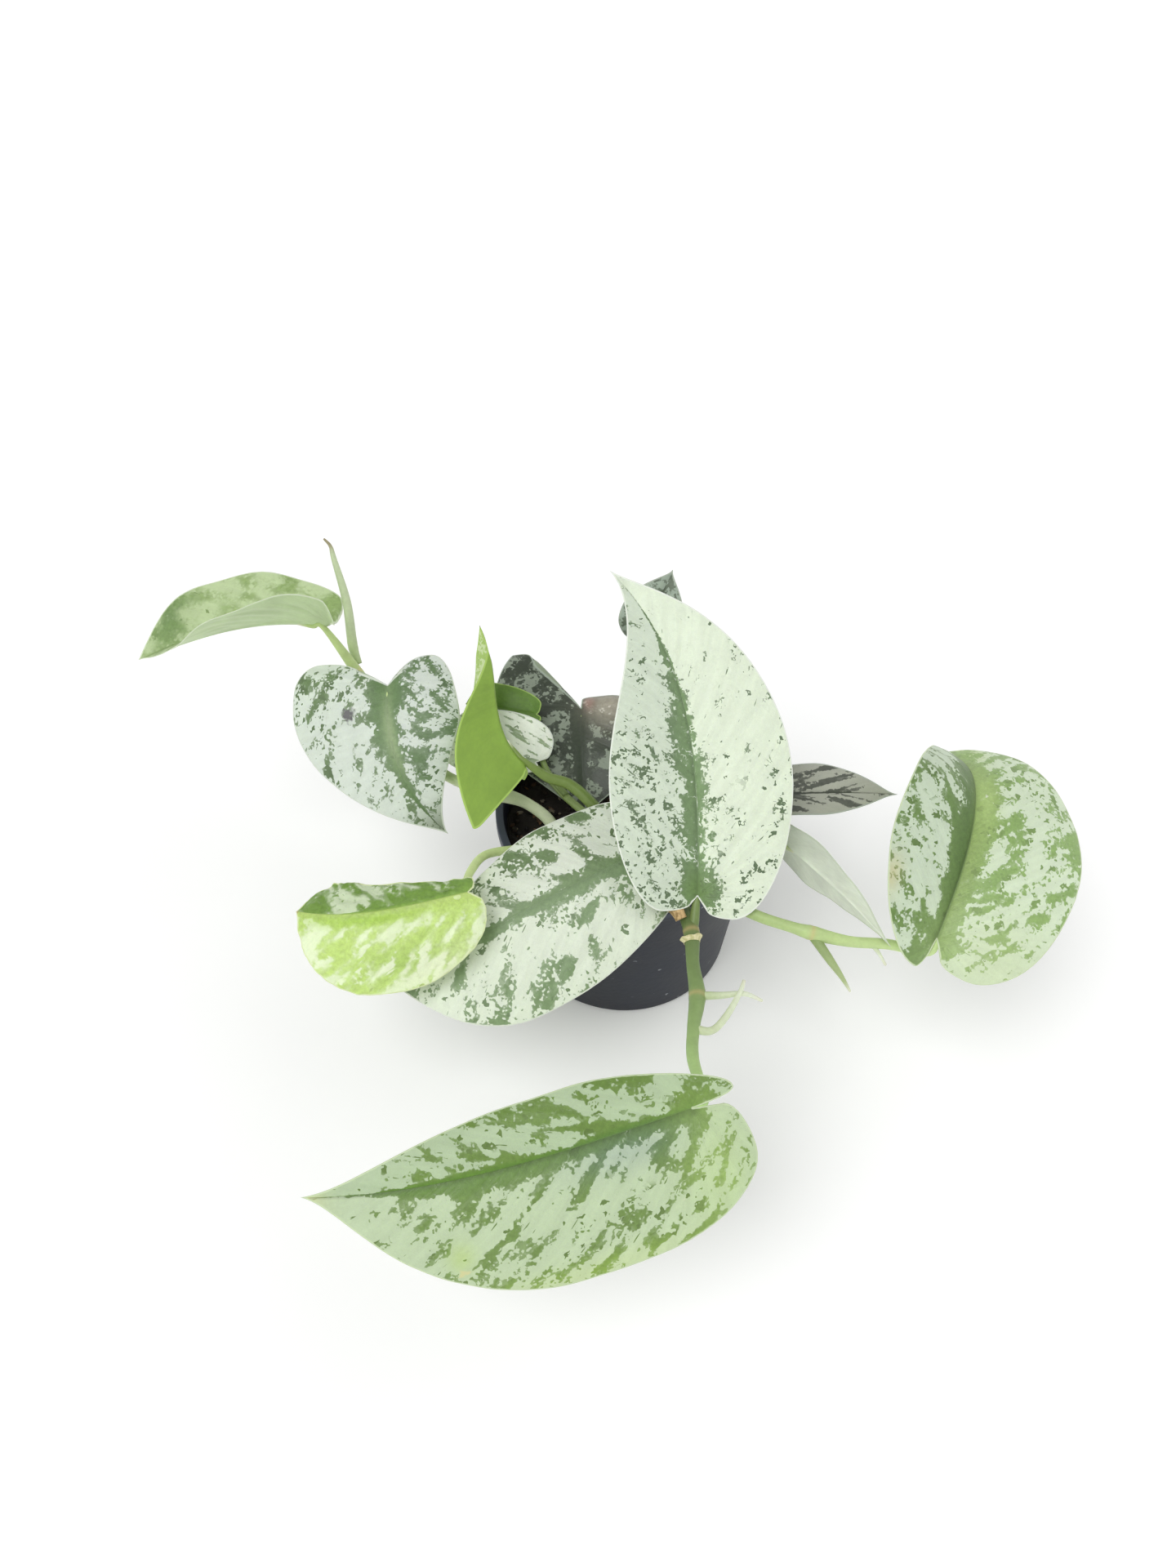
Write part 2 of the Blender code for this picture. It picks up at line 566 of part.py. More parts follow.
def soil_route(tube):
    """A stem's straight part in the soil."""
    x, y = tube["soil"]
    radius = tube["route"][0][3]
    low = SOIL_TOP - STEM_DEPTH
    return [(x, y, low, radius), (x, y, low + STEM_DEPTH / 2, radius), (x, y, SOIL_TOP + 1, radius)]


def full_route(tube):
    route = list(tube["route"])
    if "soil" in tube:
        route = soil_route(tube) + route
    if "leaf" in tube:
        route += seat(LEAVES[tube["leaf"]], tube.get("side_on", False), np.array(route[-1][:3]))
    return route


def make_vine(name, tubes, skin):
    made = [add_object(f"{name}_{i}", *tube_mesh(full_route(tube)), skin) for i, tube in enumerate(tubes)]
    vine = made[0]
    vine.name = name
    if len(made) > 1:
        boolean(vine, made[1:], "UNION")


def make_leaves():
    for name, leaf in LEAVES.items():
        add_object(name, *blade_mesh(leaf), material(name, leaf.color, 0.45))


def main():
    clear_scene()
    make_pot()
    make_soil()
    stem_skin = material("stem", (0.42, 0.55, 0.28), 0.5)
    for name, tubes in VINES.items():
        make_vine(name, tubes, stem_skin)
    make_leaves()
    add_object("leaf_rolled", *tube_mesh(ROLLED), material("leaf_rolled", (0.60, 0.68, 0.50), 0.5))


main()
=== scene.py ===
"""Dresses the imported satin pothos: fine blades with painted variegation, stems, pot and potting mix.

Lengths in the tables are in mm, from the centre of the pot's underside, +Z up, front at -Y.
"""

import math
from dataclasses import dataclass

import bpy
import numpy as np
from mathutils import Matrix, Vector, noise


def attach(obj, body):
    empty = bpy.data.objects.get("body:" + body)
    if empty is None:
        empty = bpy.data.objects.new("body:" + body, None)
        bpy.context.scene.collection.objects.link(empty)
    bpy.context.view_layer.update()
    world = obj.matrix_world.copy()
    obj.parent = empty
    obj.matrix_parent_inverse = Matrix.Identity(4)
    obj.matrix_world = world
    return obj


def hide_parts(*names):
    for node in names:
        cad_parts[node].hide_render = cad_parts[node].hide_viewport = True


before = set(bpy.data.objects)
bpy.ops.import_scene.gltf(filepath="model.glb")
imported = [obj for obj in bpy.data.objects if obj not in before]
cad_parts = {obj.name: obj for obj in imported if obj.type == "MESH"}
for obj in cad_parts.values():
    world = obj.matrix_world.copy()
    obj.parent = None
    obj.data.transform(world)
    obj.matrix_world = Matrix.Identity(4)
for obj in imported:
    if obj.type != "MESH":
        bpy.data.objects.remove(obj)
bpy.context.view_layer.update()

MM = 0.001

# Pot and soil, mm
POT_HEIGHT = 82.0
RIM_RADIUS = 51.5
RIM_BAND = 5.0
RIM_STEP = 1.0
LIP_SLOPE = 1.2
WALL = 1.8
WALL_TOP_RADIUS = 50.3
BASE_RADIUS = 44.8
BASE_BEVEL = 1.5
POT_ROUNDING = 0.7
ROUND_SEGMENTS = 144
FLOOR = 2.4
DRAIN_HOLES = 6
DRAIN_RADIUS = 4.0
DRAIN_RING = 32.0
DRAIN_SIDES = 32
SOIL_TOP = 70.0
SOIL_RELIEF = 1.6
SOIL_RINGS = 34
SOIL_ROOM = 0.3  # between the mix and the pot's floor and wall
SOIL_EDGE_ROOM = 0.1  # the same at its top
SOIL_SEED = 11
GRANULES = 700

# Leaf blades, mm
BLADE = 0.7
KEEL = 0.7
LOBE_ROWS = 9
SHOULDER_ROWS = 16
TIP_ROWS = 48
LOBE_HANDLE = 0.3  # the notch curve's first handle, as a share of the lobe
TIP_HANDLE = 0.78  # the tip curve's second handle, as a share of its length
HALVES_APART = 2.2  # how far the waves of one half run ahead of the other's, in radians
FINE_COLUMNS = 24
VEIN_COLUMN = 14  # the column whose steps from row to row give the spacing of the veins
EDGE = 0.11  # half the thickness at the margin
INSET = 0.25  # of the margin inside the CAD blade's
SIDE_INSET = 0.06  # of each side inside the CAD blade's
GROOVE, GROOVE_REACH = 0.2, 0.9  # along the midrib's upper side
FINE_KEEL, KEEL_REACH, KEEL_TAPER = KEEL + 0.25, 1.3, 0.85  # tapers by that share from base to tip
VEIN_SPACING = 6.5

# Markings
LEAF_SHIFT = 31.7  # from leaf to leaf and from half to half, mm, so that their noises differ
HALF_SHIFT = 17.3
BAND_FADE = (0.25, 1.9)  # the green band's border, as shares of its half width
BAND_GREEN = 1.15  # less silver on the band and at the base
BASE_GREEN = 0.9

# Petioles, stems and sheaths, mm
PETIOLE = 1.5
PETIOLE_TIP = 1.1
UNDER_BLADE = 0.4  # between a petiole's surface and its blade's middle
SEAT = ((-5.0, PETIOLE), (2.5, PETIOLE_TIP), (7.0, 0.9), (13.0, 0.4))  # place along the midrib, radius
SPAN_STEPS = 9
STEM_SIDES = 20
NODE_SWELLING, NODE_REACH = 0.1, 1.6  # a share of the radius
NODE_RING, NODE_RING_REACH = 0.07, 0.5  # the groove round the swelling, the same way
NODE_SPOT = 0.9  # reach of a node's colour
TIP_RADIUS = 0.7  # stems that end thinner than this have a pale tip
TIP_REACH = 4.0
SHEATH = 0.2  # thickness
SHEATH_ROWS = 10
SHEATH_COLUMNS = 22

# Stage
FLOOR_REACH = 6000.0
CAMERA_PLACE = (-0.0158, -0.286, 0.4384)  # m
CAMERA_PITCH = 50.24
CAMERA_ROLL = 0.75
CAMERA_LENS = 27.075
ROOM_FADE = {"From Min": 0.33, "From Max": 0.45, "To Min": 1.0, "To Max": 0.4}  # light by direction's height


@dataclass
class Half:
    """One half of a blade, from the midrib to the margin. Lengths in mm, angles in degrees."""

    width: float = 30  # at its widest
    lobe: float = 14  # reach of the lobe behind the base
    widest: float = 0.25  # place of the widest point, as a share of the midrib
    belly: float = 0.5  # how far past it the margin stays wide
    blunt: float = 0.13  # fullness next to the tip
    plump: float = 0.5  # roundness of the lobe's outer side
    lobe_at: float = 0.42  # the lobe's furthest point, as a share of the width
    notch: float = 0.09  # opening of the notch, the same way
    sinus: float = 0.55  # the notch's depth behind the base, as a share of the lobe
    fold: tuple = (15, 15)  # rise where it leaves the midrib, at base and tip
    curl: float = -30  # its further bend out to the margin


@dataclass
class Leaf:
    """One heart-shaped blade with its midrib from base to tip."""

    base: tuple  # where the midrib leaves its petiole
    tip: tuple
    face: tuple  # the way its upper side looks
    left: Half
    right: Half
    arch: tuple = (0, 0)  # the midrib's two handles, towards its face
    sway: tuple = (0, 0)  # the same, to its left
    twist: float = 0  # turn of the face from base to tip, towards its left
    lobe_drop: float = 3
    ripple: float = 1.0
    waves: float = 2.5


LEAVES = {
    "leaf_centre": Leaf(
        base=(23, -52, 96.5), tip=(-9, 45, 161), face=(-0.05, -0.62, 0.78),
        left=Half(31, lobe=5, widest=0.3, belly=0.45, blunt=0.05, fold=(22, 22), curl=-20),
        right=Half(35, lobe=8, widest=0.34, belly=0.45, lobe_at=0.36, fold=(14, 14), curl=-34),
        arch=(3, 6), sway=(-11, -22), lobe_drop=1, ripple=0.8,
    ),
    "leaf_front": Leaf(
        base=(17, -133, 102), tip=(-97, -161, 100), face=(0.0, -0.6, 0.8),
        left=Half(40, lobe=16, widest=0.33, belly=0.6, plump=0.58, notch=0.04, fold=(20, 10), curl=-42),
        right=Half(18, lobe=15, widest=0.3, belly=0.6, blunt=0.2, plump=0.35, lobe_at=0.12, notch=0.02,
                   fold=(8, 8), curl=-44),
        arch=(5, 3), sway=(3, 8), lobe_drop=1.5,
    ),
    "leaf_right": Leaf(
        base=(106, -64, 90), tip=(124, 30, 80), face=(0.1, -0.2, 0.95),
        left=Half(30, lobe=12, widest=0.29, lobe_at=0.12, notch=0.02, sinus=0.3, fold=(34, 28), curl=-34),
        right=Half(42, lobe=10, widest=0.32, belly=0.55, lobe_at=0.36, fold=(22, 18), curl=-44),
        arch=(26, 36), sway=(-6, -10),
    ),
    "leaf_lower_left": Leaf(
        base=(5, -33, 97), tip=(-82, -76, 72), face=(-0.15, -0.3, 0.95),
        left=Half(36, lobe=6, widest=0.5, belly=0.6, blunt=0.6, plump=0.4, fold=(0, 0), curl=-34),
        right=Half(27, lobe=12, widest=0.22, fold=(14, 8), curl=-34),
        arch=(8, 10),
    ),
    "leaf_yellow": Leaf(
        base=(-56, -58, 106), tip=(-115.5, -61.5, 98), face=(0.0, -0.35, 0.93),
        left=Half(29, lobe=4.5, widest=0.48, blunt=0.84, plump=0.45, lobe_at=0.3, sinus=0.75,
                  fold=(-12, -12), curl=-22),
        right=Half(15.5, lobe=3, widest=0.75, belly=0.6, blunt=1.1, plump=0.15, lobe_at=0.4,
                   fold=(-28, -22), curl=-18),
        arch=(5, 5), sway=(4, 7), lobe_drop=1, ripple=1.6,
    ),
    "leaf_heart": Leaf(
        base=(-92, 27, 119), tip=(-68, -18, 86), face=(-0.1, -0.55, 0.83),
        left=Half(28, lobe=13, widest=0.2, lobe_at=0.58, notch=0.2, sinus=0.42, fold=(18, 10), curl=-36),
        right=Half(40, lobe=10, widest=0.12, belly=0.2, blunt=0.1, lobe_at=0.75, notch=0.3, sinus=0.45,
                   fold=(12, 8), curl=-40),
        arch=(6, 8), sway=(-9, -9),
    ),
    "leaf_arching": Leaf(
        base=(-115, 48, 130), tip=(-193, 46, 112), face=(0.0, 0.55, 0.85),
        left=Half(27, lobe=3, widest=0.35, fold=(44, 30), curl=-8),
        right=Half(24, lobe=2, widest=0.45, belly=0.6, blunt=0.4, fold=(44, 30), curl=-14),
        arch=(9, 5), twist=45,
    ),
    "leaf_bright_edge": Leaf(
        base=(-38.5, -4, 108), tip=(-57, 40, 138), face=(-0.95, -0.29, -0.1),
        left=Half(13, lobe=2, widest=0.5, blunt=0.6, plump=0.1, lobe_at=0.4, fold=(42, 30), curl=0),
        right=Half(34, lobe=1.5, widest=0.0, belly=0.0, blunt=-0.2, plump=0.6, lobe_at=0.88,
                   sinus=0.7, fold=(65, 54), curl=-6),
        arch=(12, -3), lobe_drop=0, ripple=0.5,
    ),
    "leaf_small_silver": Leaf(
        base=(-36, 11, 94), tip=(-73, 15, 94), face=(-0.05, -0.62, 0.78),
        left=Half(6, lobe=1, widest=0.45, belly=0.6, blunt=1.0, curl=-25),
        right=Half(19, lobe=6, widest=0.4, belly=0.6, blunt=1.0, plump=0.6, curl=-25),
        arch=(3, 3), lobe_drop=0, ripple=0.4,
    ),
    "leaf_young_green": Leaf(
        base=(-36, 28, 103), tip=(-64, 32, 104), face=(0.05, -0.45, 0.85),
        left=Half(6, lobe=2, lobe_at=0.3, fold=(10, 10), curl=-10),
        right=Half(10, lobe=1, widest=0.65, belly=0.6, blunt=0.6, fold=(10, 10), curl=-20),
        arch=(2, 2), lobe_drop=0, ripple=0.2,
    ),
    "leaf_back": Leaf(
        base=(-19, 40, 94), tip=(-17, -2, 75), face=(-0.05, -0.45, 0.89),
        left=Half(28, lobe=6, widest=0.3, notch=0.02, sinus=0.8, fold=(14, 14), curl=-24),
        right=Half(39, lobe=28, widest=0.1, belly=0.4, plump=0.2, lobe_at=0.72, notch=0.5, sinus=0.75,
                   fold=(14, 14), curl=-26),
        arch=(4, 4), lobe_drop=2,
    ),
    "leaf_behind_tip": Leaf(
        base=(6, 46, 129), tip=(15, 59, 150), face=(-0.1, -0.7, 0.7),
        left=Half(13, lobe=6, fold=(14, 14), curl=-24),
        right=Half(13, lobe=6, fold=(24, 24), curl=-10),
        arch=(4, 4),
    ),
    "leaf_dark_slim": Leaf(
        base=(42, -6, 95), tip=(102, -1, 92), face=(0.05, -0.25, 0.95),
        left=Half(12, lobe=4, widest=0.4, belly=0.6, fold=(16, 16), curl=-20),
        right=Half(9, lobe=4, widest=0.4, belly=0.6, fold=(16, 16), curl=-34),
        arch=(4, 3), lobe_drop=1, ripple=0.5,
    ),
    "leaf_pale_drooping": Leaf(
        base=(53, -18, 90), tip=(89, -69, 92), face=(0.7, 0.7, 0.0),
        left=Half(13, lobe=4, widest=0.3, belly=0.35, blunt=0.1, fold=(8, 8), curl=-10),
        right=Half(13, lobe=4, widest=0.35, belly=0.45, blunt=0.1, fold=(8, 8), curl=-10),
        sway=(-2, -6), lobe_drop=0, ripple=0.5,
    ),
}

# Vines, mm: each tube is a route of (x, y, z, radius), and "leaf" names the blade that its end carries.
# "side_on" petioles meet their blade from below, and the others run in along the midrib. A vine's first tube
# rises from the potting mix.
VINES = {
    "vine_front": [
        {"route": [(16, -30, 76, 2.6), (17, -41, 84, 2.5), (19, -52, 87, 2.5), (21, -62, 89, 2.8),
                   (21, -74, 88, 2.3), (22, -86, 87, 2.8), (20, -99, 88, 2.1), (19, -112, 92, 2.0)],
         "leaf": "leaf_front"},
        {"route": [(21, -62, 89, 1.8), (22, -58, 90.5, 1.8)], "leaf": "leaf_centre", "side_on": True},
        {"route": [(22, -86, 87, 1.6), (30, -86, 87.5, 1.2), (38, -85, 87, 0.9), (44, -87, 86, 0.5)]},
        {"route": [(20, -99, 88, 1.6), (26, -99, 87, 1.3), (31, -94, 87, 1.2), (36, -86, 88.5, 0.9),
                   (38, -81, 89, 0.6)]},
    ],
    "vine_right": [
        {"route": [(28, -24, 76, 2.3), (30, -36, 86, 2.2), (33, -48, 90, 2.1), (44, -56, 91, 2.0),
                   (56, -60, 90, 2.0), (63, -62, 89.5, 2.5), (76, -64, 87.5, 2.0), (90, -64, 86, 1.9)],
         "leaf": "leaf_right"},
        {"route": [(84, -64, 86.5, 1.0), (87, -67, 84, 0.6), (89, -70, 82, 0.5)]},
        {"route": [(63, -62, 89, 1.9), (69, -70, 85, 1.5), (73, -75, 82, 0.9), (76, -79, 79, 0.4)]},
    ],
    "vine_left": [
        {"route": [(-27, -17, 76, 2.4), (-30, -11, 85, 2.3), (-39, -6, 90, 2.2), (-49, -3, 91.5, 2.8),
                   (-60, -1, 93, 2.1), (-74, 6, 95.5, 2.0), (-90, 21, 100, 2.4), (-100, 34, 105, 2.0),
                   (-107, 43, 110, 2.2)],
         "leaf": "leaf_arching", "side_on": True},
        {"route": [(-90, 21, 100, 1.7), (-93, 29, 107, 1.7)], "leaf": "leaf_heart", "side_on": True},
    ],
    "vine_inner": [
        {"route": [(-4, -20, 76, 2.6), (-6, -19, 86, 2.4), (-12, -14, 96, 2.2), (-22, -7, 102, 2.1),
                   (-31, -5, 104.5, 1.9)],
         "leaf": "leaf_bright_edge", "side_on": True},
        {"route": [(-4, -20, 78, 1.8), (2, -24, 86, 1.7)], "leaf": "leaf_lower_left"},
        {"route": [(-4, -20, 77, 1.8), (-16, -22, 82, 1.7), (-32, -23, 85, 1.7), (-43, -25, 86, 1.7),
                   (-53, -31, 90.5, 1.6), (-57, -44, 98, 1.5)], "leaf": "leaf_yellow", "side_on": True},
        {"route": [(-6, -19, 84, 1.8), (-14, -12, 88, 1.6), (-24, -2, 89, 1.5), (-31, 8, 88, 1.4)],
         "leaf": "leaf_small_silver", "side_on": True},
        {"route": [(-24, -2, 90, 1.3), (-32, 10, 91, 1.2), (-36, 21, 97, 1.1)],
         "leaf": "leaf_young_green", "side_on": True},
    ],
    "vine_back": [
        {"route": [(-16, 36, 76, 2.0), (-17, 40, 84, 1.8)],
         "leaf": "leaf_back", "side_on": True},
    ],
    "vine_behind": [
        {"route": [(22, 6, 76, 2.4), (22, 14, 88, 2.2), (18, 34, 104, 1.8), (11, 49, 118, 1.7)],
         "leaf": "leaf_behind_tip", "side_on": True},
        {"route": [(22, 8, 80, 1.8), (28, 0, 88, 1.6)], "leaf": "leaf_dark_slim"},
        {"route": [(22, 8, 80, 1.8), (34, -2, 85, 1.6), (44, -13, 88, 1.6)], "leaf": "leaf_pale_drooping",
         "side_on": True},
    ],
}

# A young leaf still rolled up, mm: a spike like a tube
ROLLED = [(-107, 47.5, 110, 1.4), (-109, 51.5, 116, 1.9), (-110.5, 60.5, 130.5, 1.7), (-115, 71, 143, 1.1),
          (-116.5, 75, 146, 0.7), (-119, 77, 148, 0.4)]


@dataclass
class Paint:
    """The markings of one blade. Colours are sRGB from 0 to 255, and pairs are for (left, right) halves.

    Places on a blade are (along, across): the share from base to tip, and the share of the half's width,
    above 0 on the left half.
    """

    green: tuple = ((112, 140, 84), (112, 140, 84))
    band: tuple = ((105, 135, 75), (105, 135, 75))  # beside the midrib
    silver: tuple = ((205, 216, 202), (205, 216, 202))
    rim: tuple = (214, 222, 200)
    under: tuple = (176, 192, 158)
    cover: tuple = (0.2, 0.2)  # how much silver there is, from -0.5 to 0.5
    left_band: tuple = (3, 4, 4, 3, 1, 0)  # the green band's half width in mm, from base to tip
    right_band: tuple = (3, 4, 4, 3, 1, 0)
    patches: tuple = ()  # (along, across, reach along, reach across, more silver)
    strokes: tuple = ()  # (along, across, along, across, half width in mm, less silver)
    flecks: tuple = (0.01, 0.01)  # the share of small dark flecks
    clusters: tuple = ()  # (along, across, reach along, reach across, more flecks)
    # Washes are partly the leaf's own tints and partly painted sheen.
    tints_and_sheen: tuple = ()  # (along, across, reach along, reach across, green, silver)
    marks: tuple = ()  # (along, across, radius in mm, colour)
    cell: tuple = (3.2, 6.0)  # a patch's width and its length along the veins, in mm
    slant: float = 42.0  # degrees between the midrib and the patches
    clump: float = 0.6  # how far large clumps decide over single patches
    teeth: float = 0.26  # how blocky the patches' edges are
    ragged: float = 1.8  # how frayed the edges are, in mm
    soft: float = 0.02  # how soft the edges are
    crinkle: float = 0.6  # height of the puckers between the veins
    # Painted shade: how dark the fold beside the midrib is painted.
    crease_shade: float = 0.12  # how dark the fold beside the midrib is
    base_spot: float = 6.0  # radius of the plain green at the base, mm
    relief: float = 0.3
    wrinkle: float = 0.35
    wrinkle_size: float = 13.0


def both(color):
    return (color, color)


